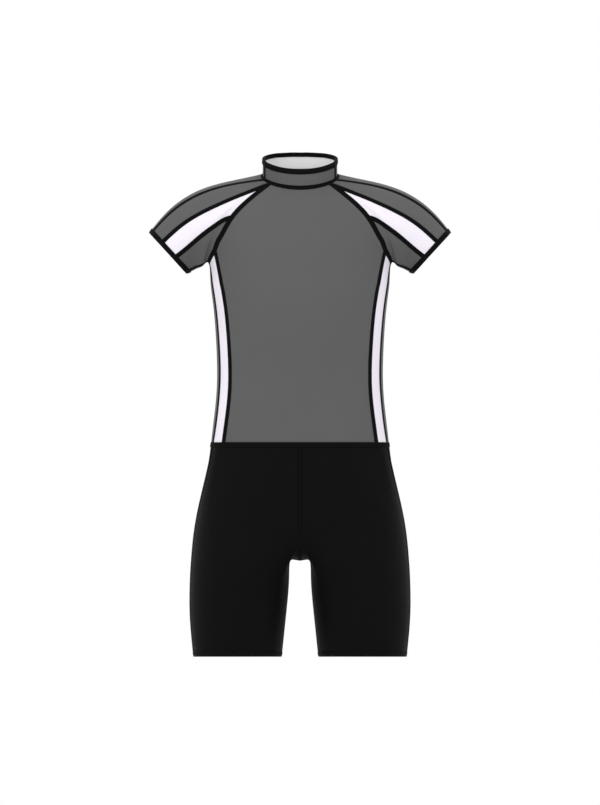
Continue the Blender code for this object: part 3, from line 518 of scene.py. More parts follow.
def lay_flat(piece, way):
    """Unwrap a panel in metres, with its UV's -Y along a way of the body. Returns its flat size and area."""
    work_on(piece)
    bpy.ops.object.mode_set(mode="EDIT")
    bpy.ops.mesh.select_all(action="SELECT")
    bpy.ops.uv.unwrap(method="ANGLE_BASED", margin=UNWRAP_MARGIN)
    bpy.ops.object.mode_set(mode="OBJECT")
    mesh = piece.data
    count = len(mesh.loops)
    flat = np.empty(count * 2)
    mesh.uv_layers.active.data.foreach_get("uv", flat)
    flat = flat.reshape(-1, 2)
    corners = np.empty(count, dtype=int)
    mesh.loops.foreach_get("vertex_index", corners)
    solid = places_of(mesh)[corners]
    outer = np.zeros(count, bool)
    solid_area = flat_area = 0.0
    for face in mesh.polygons:
        if face.material_index == OUTER:
            loops = range(face.loop_start, face.loop_start + face.loop_total)
            outer[list(loops)] = True
            solid_area += face.area
            u, v = flat[list(loops)].T
            flat_area += abs(np.dot(u, np.roll(v, 1)) - np.dot(v, np.roll(u, 1))) / 2
    flat *= math.sqrt(solid_area / flat_area)
    along = solid[outer] @ np.array(way)
    near = np.column_stack((flat[outer], np.ones(outer.sum())))
    slope = np.linalg.lstsq(near, along, rcond=None)[0][:2]
    turn = -math.pi / 2 - math.atan2(slope[1], slope[0])
    turned = np.array(((math.cos(turn), math.sin(turn)), (-math.sin(turn), math.cos(turn))))
    flat = flat @ turned
    mesh.uv_layers.active.data.foreach_set("uv", flat.ravel())
    size = flat[outer].max(axis=0) - flat[outer].min(axis=0)
    return tuple(float(value) for value in size), solid_area


# %% [markdown]
# ### Creases
#
# The garment is filled out and stretched smooth, so it has only faint tension creases: under the arms, at
# the waist and round the crotch. Each one is a soft trough between two points, deepest in its middle. The
# same table serves both sides of the body, because it reads the distance from the centre.

# %% Crease table
CREASE_FULLNESS = 0.8

# Millimetres: x, y, z of each end, half width, depth (a trough is positive, a ridge negative)
CREASES = (
    ((142, -50, -172), (92, -103, -196), 7.0, 1.0),
    ((144, -52, -190), (104, -98, -226), 8.0, 0.8),
    ((140, -56, -150), (98, -104, -158), 6.0, 0.7),
    ((140, 60, -166), (88, 102, -184), 7.0, 1.0),
    ((144, 52, -186), (100, 92, -222), 8.0, 0.8),
    ((176, -48, -150), (186, -60, -112), 6.0, 0.8),
    ((180, 48, -150), (190, 60, -108), 6.0, 0.9),
    ((126, -62, -322), (66, -96, -334), 9.0, 0.8),
    ((128, -60, -352), (74, -94, -346), 8.0, -0.5),
    ((118, 62, -318), (54, 80, -330), 8.0, 1.1),
    ((122, 60, -340), (50, 82, -352), 9.0, 0.9),
    ((116, 64, -366), (60, 84, -374), 8.0, 0.7),
    ((22, -86, -640), (78, -99, -606), 7.0, 1.3),
    ((26, -78, -660), (96, -98, -646), 8.0, 1.1),
    ((24, -60, -690), (84, -94, -694), 7.0, 0.9),
    ((20, 96, -640), (80, 116, -612), 8.0, 1.4),
    ((24, 88, -664), (98, 110, -652), 8.0, 1.2),
    ((26, 62, -694), (86, 102, -704), 7.0, 0.8),
    ((30, -10, -716), (34, -44, -742), 6.0, 0.9),
    ((30, 12, -720), (36, 50, -748), 6.0, 0.9),
)


def crease_depth(places):
    """Depth of all creases together at places in metres."""
    near = np.abs(places * (1, 0, 0)) + places * (0, 1, 1)
    depth = np.zeros(len(places))
    for start, end, half_width, most in CREASES:
        one, two = np.array(start) * MM, np.array(end) * MM
        run = two - one
        part = (near - one) @ run / (run @ run)
        away = np.linalg.norm(near - one - np.clip(part, 0, 1)[:, None] * run, axis=1)
        taper = np.sin(np.clip(part, 0, 1) * math.pi) ** CREASE_FULLNESS
        depth += most * MM * taper * np.exp(-((away / (half_width * MM)) ** 2))
    return depth


def outer_normals(mesh):
    """Normal of each vertex from the outer faces alone. Inner vertices take their nearest outer one's."""
    places = places_of(mesh)
    normals = np.zeros_like(places)
    for face in mesh.polygons:
        if face.material_index == OUTER:
            normals[list(face.vertices)] += np.array(face.normal) * face.area
    on_outer = np.linalg.norm(normals, axis=1) > 0
    tree = KDTree(int(on_outer.sum()))
    for number in np.flatnonzero(on_outer):
        tree.insert(places[number], number)
    tree.balance()
    for number in np.flatnonzero(~on_outer):
        normals[number] = normals[tree.find(places[number])[1]]
    return normals / np.linalg.norm(normals, axis=1, keepdims=True)


def apply_smooth(piece):
    work_on(piece)
    bpy.ops.object.modifier_apply(modifier="smooth")


def press_creases(piece):
    places = places_of(piece.data)
    places -= outer_normals(piece.data) * crease_depth(places)[:, None]
    piece.data.vertices.foreach_set("co", places.ravel())
    piece.data.update()


# %% [markdown]
# ### Making every panel
#
# One loop makes them all. The table says which cloth each panel is cut from, and the name says which way its
# columns run.

# %% Panels
SIDES = ("left", "right")


def both_sides(*names):
    return [f"{name}_{side}" for name in names for side in SIDES]


PANELS = {
    **dict.fromkeys(["front_body", *both_sides("back")], (grey_jersey, "grey_jersey")),
    **dict.fromkeys(both_sides("side_stripe", "sleeve_stripe"), (white_jersey, "white_jersey")),
    **dict.fromkeys(both_sides("sleeve_upper", "sleeve_lower", "sleeve_back"), (grey_jersey, "grey_jersey")),
    **dict.fromkeys(["collar_front", *both_sides("collar_back")], (grey_jersey, "grey_jersey")),
    **dict.fromkeys(both_sides("shorts_front", "shorts_back"), (black_jersey, "black_jersey")),
    "collar_lining": (white_lining, "white_lining"),
}
all_cloth = packed_tree(PANELS)
cloth = {}
for node, (material, slot) in PANELS.items():
    panel = welded_copy(node, f"{node}_cloth")
    walls, quads, faces = mark_sides(panel, all_cloth)
    side = -1 if node.endswith("right") else 1
    way = Vector((SLEEVE_WAY.x * side, 0, SLEEVE_WAY.z)) if node.startswith("sleeve") else DOWN
    size, area = lay_flat(panel, way)
    fit_smooth(panel)
    apply_smooth(panel)
    press_creases(panel)
    # The walls and the rim keep their numbers, so the same cloth fills a slot for each
    for _ in (OUTER, INNER, RIM):
        panel.data.materials.append(material)
    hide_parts(node)
    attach(panel, "garment")
    cloth[node] = panel
    print(f"{node}: {walls} walls, {quads} of {faces} faces are quads, cut {size[0]:.3f} x {size[1]:.3f} m")

# %% [markdown]
# ## Lines to lay trim on
#
# All trim follows the cut edges of the panels. Where two panels meet, their edges run side by side, and the
# line halfway between them is the seam. An edge that no other panel meets is open: the neck rim, a cuff or a
# leg. The points of such a line are gathered from the smooth panels and put in order by always going on to
# the nearest one.

# %% Cut edges of the panels
MEET = 1.3 * MM
SAME = 0.9 * MM
REACH = 16 * MM
BESIDE_BOX = 10 * MM


def cut_edges(piece):
    """Ends, normals and inward ways, each (edges, 2, 3), of the edges round a shell's outer face."""
    skin = bmesh.new()
    skin.from_mesh(piece.data)
    skin.normal_update()
    found = []
    for edge in skin.edges:
        if sorted(face.material_index for face in edge.link_faces) != [OUTER, RIM]:
            continue
        face = next(face for face in edge.link_faces if face.material_index == OUTER)
        inward = face.calc_center_median() - (edge.verts[0].co + edge.verts[1].co) / 2
        for vert in edge.verts:
            faces = [face for face in vert.link_faces if face.material_index == OUTER]
            normal = sum((face.normal for face in faces), Vector()).normalized()
            found.append((vert.co[:], normal[:], inward[:]))
    skin.free()
    return [np.array(column).reshape(-1, 2, 3) for column in zip(*found)]


edges_of = {node: cut_edges(piece) for node, piece in cloth.items() if node != "collar_lining"}


def tree_of(points):
    tree = KDTree(len(points))
    for number, point in enumerate(points):
        tree.insert(point, number)
    tree.balance()
    return tree


def in_order(points):
    """Numbers of the points along their line, each followed by its nearest neighbour."""
    def walk(first):
        order = [first]
        left = np.ones(len(points), bool)
        left[first] = False
        while left.any():
            away = np.linalg.norm(points - points[order[-1]], axis=1)
            away[~left] = np.inf
            nearest = int(away.argmin())
            if away[nearest] > REACH:
                break
            order.append(nearest)
            left[nearest] = False
        return order

    return walk(walk(0)[-1])


def line_through(points, normals, inward, node):
    """Ordered line of the points that lie in a node's box. Returns points, normals, inward and closed.

    A closed line starts at its rearmost point, which is where the zip crosses those at the neck.
    """
    low, high = (np.array(corner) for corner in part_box(node))
    kept = []
    for number in np.flatnonzero(np.all((points > low - BESIDE_BOX) & (points < high + BESIDE_BOX), axis=1)):
        if all(np.linalg.norm(points[number] - points[other]) > SAME for other in kept):
            kept.append(number)
    order = [kept[number] for number in in_order(points[kept])]
    closed = np.linalg.norm(points[order[0]] - points[order[-1]]) < REACH
    if closed:
        rearmost = int(points[order, 1].argmax())
        order = order[rearmost:] + order[:rearmost]
    return points[order], normals[order], inward[order], bool(closed)


def seam_line(first, second, node):
    """Line halfway between the cut edges of two groups of panels."""
    one = [np.concatenate([edges_of[panel][k] for panel in first]) for k in range(3)]
    two = [np.concatenate([edges_of[panel][k] for panel in second]) for k in range(3)]
    middles = tree_of(two[0].mean(axis=1))
    ends = tree_of(two[0].reshape(-1, 3))
    points, normals, inward = [], [], []
    for edge, normal, way in zip(*one):
        if middles.find(edge.mean(axis=0))[2] > MEET:
            continue
        for end, up in zip(edge, normal):
            place, number, away = ends.find(end)
            if away < MEET:
                points.append((end + np.array(place)) / 2)
                normals.append(up + two[1].reshape(-1, 3)[number])
                inward.append(way[0])
    return line_through(np.array(points), np.array(normals), np.array(inward), node)


def open_line(panels, node):
    """Line along the cut edges that no other panel meets."""
    points, normals, inward = [], [], []
    for panel in panels:
        others = tree_of(np.concatenate([edges_of[o][0].mean(axis=1) for o in edges_of if o != panel]))
        for edge, normal, way in zip(*edges_of[panel]):
            if others.find(edge.mean(axis=0))[2] > MEET:
                points.extend(edge)
                normals.extend(normal)
                inward.extend(way)
    return line_through(np.array(points), np.array(normals), np.array(inward), node)


# %% [markdown]
# ## Bands over the cloth
#
# A band is a strip of known places on the cloth beside such a line. Its rows are even steps along the line,
# and each row has a few places across it, dropped onto the nearest cloth with the cloth's own direction
# there. Anything can then be carried onto it by three numbers: how far along, how far across and how high.

# %% Band
ROW_STEP = 2.5 * MM
LEAST_ROWS = 8
TINY = 1e-12


def cloth_tree():
    """Search tree over the outer faces of all panels."""
    places, faces = [], []
    for node, piece in cloth.items():
        if node == "collar_lining":
            continue
        start = len(places)
        places.extend(vertex.co[:] for vertex in piece.data.vertices)
        faces.extend(
            [start + number for number in face.vertices]
            for face in piece.data.polygons if face.material_index == OUTER
        )
    return BVHTree.FromPolygons(places, faces)


outside = cloth_tree()


def unit(vectors):
    return vectors / np.maximum(np.linalg.norm(vectors, axis=-1, keepdims=True), TINY)


class Band:
    """Places and upward directions over the cloth, by station along a line and offset across it."""

    def __init__(self, line, offsets, on_cloth=True):
        points, normals, inward, self.closed = line
        if self.closed:
            points, normals, inward = (np.vstack((rows, rows[:1])) for rows in (points, normals, inward))
        lengths = np.concatenate(([0.0], np.cumsum(np.linalg.norm(np.diff(points, axis=0), axis=1))))
        self.length = lengths[-1]
        self.stations = np.linspace(0.0, self.length, max(int(self.length / ROW_STEP), LEAST_ROWS) + 1)
        self.offsets = np.array(offsets, float)

        def at_rows(values):
            return np.stack([np.interp(self.stations, lengths, values[:, k]) for k in range(3)], axis=1)

        middle, up, inside = at_rows(points), unit(at_rows(normals)), at_rows(inward)
        along = np.gradient(middle, axis=0)
        if self.closed:
            along[0] = along[-1] = middle[1] - middle[-2]
        across = unit(np.cross(up, unit(along)))
        if not on_cloth and (across * inside).sum() < 0:
            across = -across
        places = middle[:, None, :] + across[:, None, :] * self.offsets[None, :, None]
        lifts = np.repeat(up[:, None, :], len(self.offsets), axis=1)
        if on_cloth:
            for row in range(len(places)):
                for column in range(len(self.offsets)):
                    place, normal, _, _ = outside.find_nearest(places[row, column])
                    places[row, column], lifts[row, column] = place, normal
        self.places, self.lifts = places, lifts

    def at(self, station, offset, height):
        """Points at arrays of stations, offsets and heights, in metres."""
        station = np.asarray(station, float)
        if self.closed:
            station = np.mod(station, self.length)
        row = np.interp(station, self.stations, np.arange(len(self.stations)))
        column = np.interp(offset, self.offsets, np.arange(len(self.offsets)))
        i = np.clip(row.astype(int), 0, len(self.stations) - 2)
        j = np.clip(column.astype(int), 0, len(self.offsets) - 2)
        f, g = (row - i)[..., None], (column - j)[..., None]

        def mixed(grid):
            near = grid[i, j] * (1 - g) + grid[i, j + 1] * g
            far = grid[i + 1, j] * (1 - g) + grid[i + 1, j + 1] * g
            return near * (1 - f) + far * f

        return mixed(self.places) + unit(mixed(self.lifts)) * np.asarray(height, float)[..., None]


# %% [markdown]
# ### Strips on a band
#
# A strip is a closed profile carried along a band. Where one seam runs into another it stops, and its end
# follows the other seam's side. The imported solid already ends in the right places, so each line of the
# profile runs as far as it lies within its solid.

# %% Strip
IN_SOLID = 1.9 * MM
END_HEIGHT = 0.7 * MM
LEAST_RUN = 1.0 * MM


def solid_tree(node):
    mesh = frame["nodes"][node].data
    return BVHTree.FromPolygons([v.co[:] for v in mesh.vertices], [list(p.vertices) for p in mesh.polygons])


def runs_in_solid(band, offsets, node):
    """First and last station of each offset that lies in the node's solid."""
    tree = solid_tree(node)
    stations = np.arange(0.0, band.length, LEAST_RUN / 2)
    runs = {}
    for offset in set(offsets):
        places = band.at(stations, np.full(len(stations), offset), np.full(len(stations), END_HEIGHT))
        inside = np.array([tree.find_nearest(place)[3] < IN_SOLID for place in places])
        found = stations[inside]
        runs[offset] = (found[0], found[-1])
    return runs


def strip_parts(band, profile, runs=None):
    """Vertices, faces and UVs of a profile of (offset, height) carried along a band."""
    rows = band.stations[:-1] if band.closed and runs is None else band.stations
    if runs:
        ends = {value for run in runs.values() for value in run}
        low, high = min(ends), max(ends)
        rows = np.array(sorted({*ends, *rows[(rows > low) & (rows < high)]}))
    verts, uvs = [], []
    for offset, height in profile:
        stations = np.clip(rows, *runs[offset]) if runs else rows
        verts.append(band.at(stations, np.full(len(rows), offset), np.full(len(rows), height)))
        uvs.append(np.column_stack((np.full(len(rows), offset + height), stations)))
    verts, uvs = np.stack(verts, axis=1), np.stack(uvs, axis=1)
    count, ring = len(rows), len(profile)
    turns = count if band.closed and runs is None else count - 1
    faces = []
    for i in range(turns):
        for j in range(ring):
            k, after = (i + 1) % count, (j + 1) % ring
            faces.append((i * ring + j, i * ring + after, k * ring + after, k * ring + j))
    if turns < count:
        faces.append(tuple(range(ring))[::-1])
        faces.append(tuple((count - 1) * ring + j for j in range(ring)))
    return verts.reshape(-1, 3), faces, uvs.reshape(-1, 2)


# %% [markdown]
# ### One stitch, many copies
#
# A stitch is modelled once, lying flat at the origin: across is X, along the seam is Y and up is Z. Its
# copies are then carried onto a band, where each vertex keeps its own station, offset and height. So the
# thread bends with the cloth.

# %% Stitches
THREAD = 0.26 * MM
THREAD_SIDES = 4
PULLED_PART = 1 / 8
FREE_PART = 1 / 4
FINE_WELD = WELD / 4
SHADE_ANGLE = math.radians(50)


def take_mesh(piece):
    """Vertices and faces of a modelled template, which is then removed."""
    verts = places_of(piece.data)
    faces = [tuple(face.vertices) for face in piece.data.polygons]
    bpy.data.objects.remove(piece)
    return verts, faces


def thread_across(width, bow):
    """A thread laid across a seam, with its middle pulled along the seam."""
    deselect_all()
    bpy.ops.mesh.primitive_cylinder_add(
        vertices=THREAD_SIDES, radius=THREAD, depth=width, rotation=(0, math.pi / 2, 0)
    )
    piece = bpy.context.object
    bpy.ops.object.transform_apply(location=True, rotation=True, scale=True)
    bpy.ops.object.mode_set(mode="EDIT")
    bpy.ops.mesh.select_all(action="SELECT")
    bpy.ops.mesh.bisect(plane_co=(0, 0, 0), plane_no=(1, 0, 0))
    bpy.ops.object.mode_set(mode="OBJECT")
    for vertex in piece.data.vertices:
        vertex.select = abs(vertex.co.x) < width * PULLED_PART
    bpy.ops.object.mode_set(mode="EDIT")
    bpy.ops.mesh.select_mode(type="VERT")
    bpy.ops.transform.translate(value=(0, bow, 0))
    bpy.ops.object.mode_set(mode="OBJECT")
    return take_mesh(piece)


def thread_along(length, offset):
    """One needle stitch along a seam, with its ends drawn down into the cloth."""
    deselect_all()
    bpy.ops.mesh.primitive_cylinder_add(
        vertices=THREAD_SIDES, radius=THREAD, depth=length,
        rotation=(math.pi / 2, 0, 0), location=(offset, 0, 0),
    )
    piece = bpy.context.object
    bpy.ops.object.transform_apply(location=True, rotation=True, scale=True)
    bpy.ops.object.mode_set(mode="EDIT")
    bpy.ops.mesh.select_all(action="SELECT")
    bpy.ops.mesh.bisect(plane_co=(0, 0, 0), plane_no=(0, 1, 0))
    bpy.ops.object.mode_set(mode="OBJECT")
    for vertex in piece.data.vertices:
        vertex.select = abs(vertex.co.y) > length * FREE_PART
    bpy.ops.object.mode_set(mode="EDIT")
    bpy.ops.mesh.select_mode(type="VERT")
    bpy.ops.transform.translate(value=(0, 0, -THREAD))
    bpy.ops.object.mode_set(mode="OBJECT")
    return take_mesh(piece)


def carried(template, band, stations, base):
    """Copies of a template at stations of a band. base(offset) is the height that it lies on."""
    verts, faces = template
    count = len(verts)
    along = np.asarray(stations)[:, None] + verts[None, :, 1]
    across = np.broadcast_to(verts[:, 0], along.shape)
    up = base(across) + verts[None, :, 2]
    places = band.at(along, across, up).reshape(-1, 3)
    copies = [tuple(number + k * count for number in face) for k in range(len(along)) for face in faces]
    return places, copies, np.stack((across + up, along), axis=-1).reshape(-1, 2)


def joined_piece(name, parts, materials):
    """One object from several (vertices, faces, UVs), with a material for each."""
    slots = list(dict.fromkeys(materials))
    verts, faces, kinds, uvs, start = [], [], [], [], 0
    for (places, some_faces, some_uvs), material in zip(parts, materials):
        verts.append(places)
        uvs.append(some_uvs)
        faces.extend(tuple(number + start for number in face) for face in some_faces)
        kinds.extend([slots.index(material)] * len(some_faces))
        start += len(places)
    uvs = np.concatenate(uvs)
    mesh = bpy.data.meshes.new(name)
    mesh.from_pydata(np.concatenate(verts).tolist(), [], faces)
    for material in slots:
        mesh.materials.append(material)
    mesh.polygons.foreach_set("material_index", kinds)
    layer = mesh.uv_layers.new(name="UVMap")
    corners = np.empty(len(mesh.loops), dtype=int)
    mesh.loops.foreach_get("vertex_index", corners)
    layer.data.foreach_set("uv", uvs[corners].ravel())
    piece = bpy.data.objects.new(name, mesh)
    bpy.context.scene.collection.objects.link(piece)
    work_on(piece)
    bpy.ops.object.mode_set(mode="EDIT")
    bpy.ops.mesh.select_all(action="SELECT")
    bpy.ops.mesh.remove_doubles(threshold=FINE_WELD)
    bpy.ops.mesh.normals_make_consistent(inside=False)
    bpy.ops.object.mode_set(mode="OBJECT")
    bpy.ops.object.shade_smooth_by_angle(angle=SHADE_ANGLE)
    return piece


# %% [markdown]
# ## Flat cover seams
#
# The black lines of the garment are flat cover seams: the two cut edges lie side by side under a band of
# thread. A low strip stands for the covered edges. On it lie the cross threads, which zigzag from side to
# side, and two rows of needle stitches. Only the waist seam closes on itself: the neck seam goes round from
# one side of the zip to the other.

# %% Cover seams
COVER_FOOT = -0.15 * MM
COVER_EDGE = 0.62 * MM
COVER_CROWN = 0.85 * MM
PITCH = 2.6 * MM
END_MARGIN = 1.6 * MM
WIDE, MEDIUM, NARROW = 8.8 * MM, 8.2 * MM, 6.0 * MM
# Shares of the strip's half width, then of its dome's rise, of its width and of the pitch
SHOULDER_AT, NEEDLE_AT = 0.55, 0.6
SHOULDER_RISE = 0.75
THREAD_SPAN = 0.94
THREAD_BOW, NEEDLE_STITCH = 0.45, 0.8

COLLAR = ["collar_front", *both_sides("collar_back")]
BODY = ["front_body", *both_sides("back", "side_stripe")]
FRONTS, BACKS = both_sides("shorts_front"), both_sides("shorts_back")
SLEEVES = both_sides("sleeve_upper", "sleeve_stripe", "sleeve_lower", "sleeve_back")

# node: (panels on one side, panels on the other, width)
SEAMS = {
    "neck_seam": (COLLAR, BODY + SLEEVES, WIDE),
    "waist_seam": (BODY, FRONTS + BACKS, WIDE),
    "inner_leg_seam": (FRONTS, BACKS, NARROW),
    "centre_back_seam": (["back_left"], ["back_right"], NARROW),
    "shorts_front_seam": (FRONTS[:1], FRONTS[1:], NARROW),
    "shorts_back_seam": (BACKS[:1], BACKS[1:], NARROW),
}
for side in SIDES:
    upper, stripe, lower, back = (f"sleeve_{part}_{side}" for part in ("upper", "stripe", "lower", "back"))
    SEAMS[f"raglan_seam_{side}"] = (BODY, [upper, stripe, lower, back], WIDE)
    SEAMS[f"shoulder_seam_{side}"] = ([upper], [back], WIDE)
    SEAMS[f"stripe_seam_upper_{side}"] = ([upper], [stripe], MEDIUM)
    SEAMS[f"stripe_seam_lower_{side}"] = ([stripe], [lower], MEDIUM)
    SEAMS[f"underarm_seam_{side}"] = ([lower], [back], MEDIUM)
    SEAMS[f"side_front_seam_{side}"] = (["front_body"], [f"side_stripe_{side}"], MEDIUM)
    SEAMS[f"side_seam_{side}"] = ([f"side_stripe_{side}"], [f"back_{side}"], WIDE)
    SEAMS[f"collar_seam_{side}"] = (["collar_front"], [f"collar_back_{side}"], MEDIUM)
    SEAMS[f"outer_leg_seam_{side}"] = ([f"shorts_front_{side}"], [f"shorts_back_{side}"], NARROW)


def make_cover(node, first, second, width):
    """Strip and threads of one cover seam."""
    half = width / 2
    inner = half * SHOULDER_AT
    band = Band(seam_line(first, second, node), (-half, -inner, 0.0, inner, half))
    shoulder = COVER_EDGE + (COVER_CROWN - COVER_EDGE) * SHOULDER_RISE
    profile = [
        (-half, COVER_FOOT), (-half, COVER_EDGE), (-inner, shoulder), (0.0, COVER_CROWN), (inner, shoulder),
        (half, COVER_EDGE), (half, COVER_FOOT), (0.0, COVER_FOOT),
    ]
    closed = band.closed and node == "waist_seam"
    runs = None if closed else runs_in_solid(band, [offset for offset, _ in profile], node)
    strip = strip_parts(band, profile, runs)

    def top(offset):
        return np.interp(np.abs(offset), (0.0, inner, half), (COVER_CROWN, shoulder, COVER_EDGE))

    def on_threads(offset):
        return top(offset) + THREAD

    if runs:
        first_station = max(run[0] for run in runs.values()) + END_MARGIN
        last_station = min(run[1] for run in runs.values()) - END_MARGIN
    else:
        first_station, last_station = 0.0, band.length - PITCH
    count = max(int((last_station - first_station) / PITCH), 1)
    stations = np.linspace(first_station, last_station, count + 1)
    across = carried(thread_across(width * THREAD_SPAN, PITCH * THREAD_BOW), band, stations, top)
    needles = []
    for sign in (-1, 1):
        stitch = thread_along(PITCH * NEEDLE_STITCH, sign * half * NEEDLE_AT)
        needles.append(carried(stitch, band, stations + PITCH / 2, on_threads))
    parts = [strip, across, *needles]
    piece = joined_piece(f"{node}_stitched", parts, [cover_base, *[thread] * (len(parts) - 1)])
    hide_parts(node)
    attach(piece, "garment")
    print(f"{node}: {band.length:.3f} m, {count + 1} stitches, closed {closed}")


for node, (first, second, width) in SEAMS.items():
    make_cover(node, first, second, width)

# %% [markdown]
# ## Bindings
#
# The rim of the collar, the cuffs and the legs are bound: a strip of elastic is folded round the raw edge
# and stitched through with a zigzag. Its profile is a U, carried along the open edge. Here the band isn't
# dropped onto the cloth, because the binding reaches past its edge and down its inside. The collar's binding
# stops at the zip.

# %% Bindings
BINDING_OUT = 8.2 * MM
BINDING_IN = 6.5 * MM
BINDING_WALL = 0.9 * MM
BINDING_OVER = 1.2 * MM
CLEAR = 0.25 * MM
ZIGZAG_PITCH = 3.2 * MM
ZIGZAG_FROM_EDGE = 2.4 * MM
ZIGZAG_WIDTH = 3.0 * MM
ZIGZAG_BOW = 0.5
ZIGZAG_RISE = 0.1 * MM
COLLAR_DEPTH = 2.5 * MM
CLOTH_DEPTH = 1.2 * MM
# The soft form of the folded strip: its lips, the swell of its outer side and the turn over the edge
LIP_BULGE, LIP_ROUND = 0.1 * MM, 0.3 * MM
SWELL, SWELL_AT = 0.12 * MM, 0.6
SOFT, SOFT_AT = 0.08 * MM, 0.25
TURN_AT = 0.75
BAND_SPARE = 0.2 * MM

EDGES = {"collar_binding": (COLLAR, COLLAR_DEPTH)}
for kind, group in (("cuff_binding", SLEEVES), ("leg_binding", FRONTS + BACKS)):
    for side in SIDES:
        EDGES[f"{kind}_{side}"] = ([name for name in group if name.endswith(side)], CLOTH_DEPTH)


def binding_profile(depth):
    """U round an edge of cloth of the given depth, with a rounded fold and soft lips."""
    top, low = CLEAR, -depth - CLEAR
    crown, base = top + BINDING_WALL, low - BINDING_WALL
    middle = -depth / 2
    return [
        (BINDING_OUT, top), (BINDING_OUT + LIP_BULGE, top + BINDING_WALL / 2),
        (BINDING_OUT - LIP_ROUND, crown), (BINDING_OUT * SWELL_AT, crown + SWELL),
        (BINDING_OUT * SOFT_AT, crown + SOFT), (0.0, crown - SOFT),
        (-BINDING_OVER * TURN_AT, (crown + middle) / 2), (-BINDING_OVER, middle),
        (-BINDING_OVER * TURN_AT, (base + middle) / 2), (0.0, base + SOFT), (BINDING_IN - LIP_ROUND, base),
        (BINDING_IN, low), (0.0, low), (-CLEAR, middle), (0.0, top),
    ]


def make_binding(node, panels, depth):
    offsets = (-BINDING_OVER, 0.0, BINDING_OUT / 2, BINDING_OUT + BAND_SPARE)
    band = Band(open_line(panels, node), offsets, on_cloth=False)
    profile = binding_profile(depth)
    runs = None
    if node == "collar_binding":
        whole = runs_in_solid(band, [BINDING_OUT / 2], node)[BINDING_OUT / 2]
        runs = {offset: whole for offset, _ in profile}
    strip = strip_parts(band, profile, runs)
    low, high = runs[0.0] if runs else (0.0, band.length)
    count = int((high - low) / ZIGZAG_PITCH)
    stations = low + (np.arange(count) + 0.5) * (high - low) / count
    verts, faces = thread_across(ZIGZAG_WIDTH, ZIGZAG_PITCH * ZIGZAG_BOW)
    verts = verts + (BINDING_OUT - ZIGZAG_FROM_EDGE - ZIGZAG_WIDTH / 4, 0.0, 0.0)
    height = CLEAR + BINDING_WALL + ZIGZAG_RISE
    zigzag = carried((verts, faces), band, stations, lambda x: np.full(x.shape, height))
    piece = joined_piece(f"{node}_folded", [strip, zigzag], [binding_cloth, thread])
    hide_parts(node)
    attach(piece, "garment")
    print(f"{node}: {high - low:.3f} of {band.length:.3f} m, {count} zigzags")


for node, (panels, depth) in EDGES.items():
    make_binding(node, panels, depth)

# %% [markdown]
# ## Zip
#
# The zip runs down the centre back. Each tape is a thin woven strip, and its top end is turned over the rim
# and sewn down inside, under the ends of the binding. A nylon coil is really one long spring, but from
# outside it shows as short rounded teeth from either side, each between two of the other. So one tooth is
# modelled and copied, the left and right rows half a step apart.

# %% Zip tapes and teeth
TAPE_NEAR = 0.4 * MM
TAPE_FAR = 6.6 * MM
TAPE_FOOT = 0.1 * MM
TAPE_TOP = 1.1 * MM
EDGE_IN, EDGE_DROP = 0.2 * MM, 0.1 * MM
# The turned end: its wall, the bow of its turn, its lap on the tape and its distance from the zip's middle
FOLD_WALL = 0.7 * MM
FOLD_TURN = 0.8
FOLD_LAP = 1.0 * MM
FOLD_NEAR = 0.06 * MM
CHAIN_TOP = 3.2 * MM
TOOTH_PITCH = 1.7 * MM
TOOTH_LENGTH = 3.1 * MM
TOOTH_WIDTH = 0.72 * MM
TOOTH_HEIGHT = 1.5 * MM
TOOTH_BEVEL = 0.2 * MM
TOOTH_LAP = 0.5 * MM
# Shares of a tooth's length, then what is left of its height and width beyond its head
HEAD_END, THIN_FROM = 0.3, 0.45
THIN_HEIGHT, THIN_WIDTH = 0.62, 0.8


def fold_profile():
    """A tape's top end: from its outer face over the rim and down the inside of the collar."""
    low, middle = -COLLAR_DEPTH - CLEAR, -COLLAR_DEPTH / 2
    over = -CLEAR - FOLD_WALL
    return [
        (FOLD_LAP, TAPE_FOOT), (FOLD_LAP, TAPE_TOP), (0.0, TAPE_TOP),
        (over * FOLD_TURN, (TAPE_TOP + middle) / 2), (over, middle),
        (over * FOLD_TURN, (low - FOLD_WALL + middle) / 2), (0.0, low - FOLD_WALL),
        (BINDING_IN, low - FOLD_WALL), (BINDING_IN, low), (0.0, low), (-CLEAR, middle), (0.0, TAPE_FOOT),
    ]


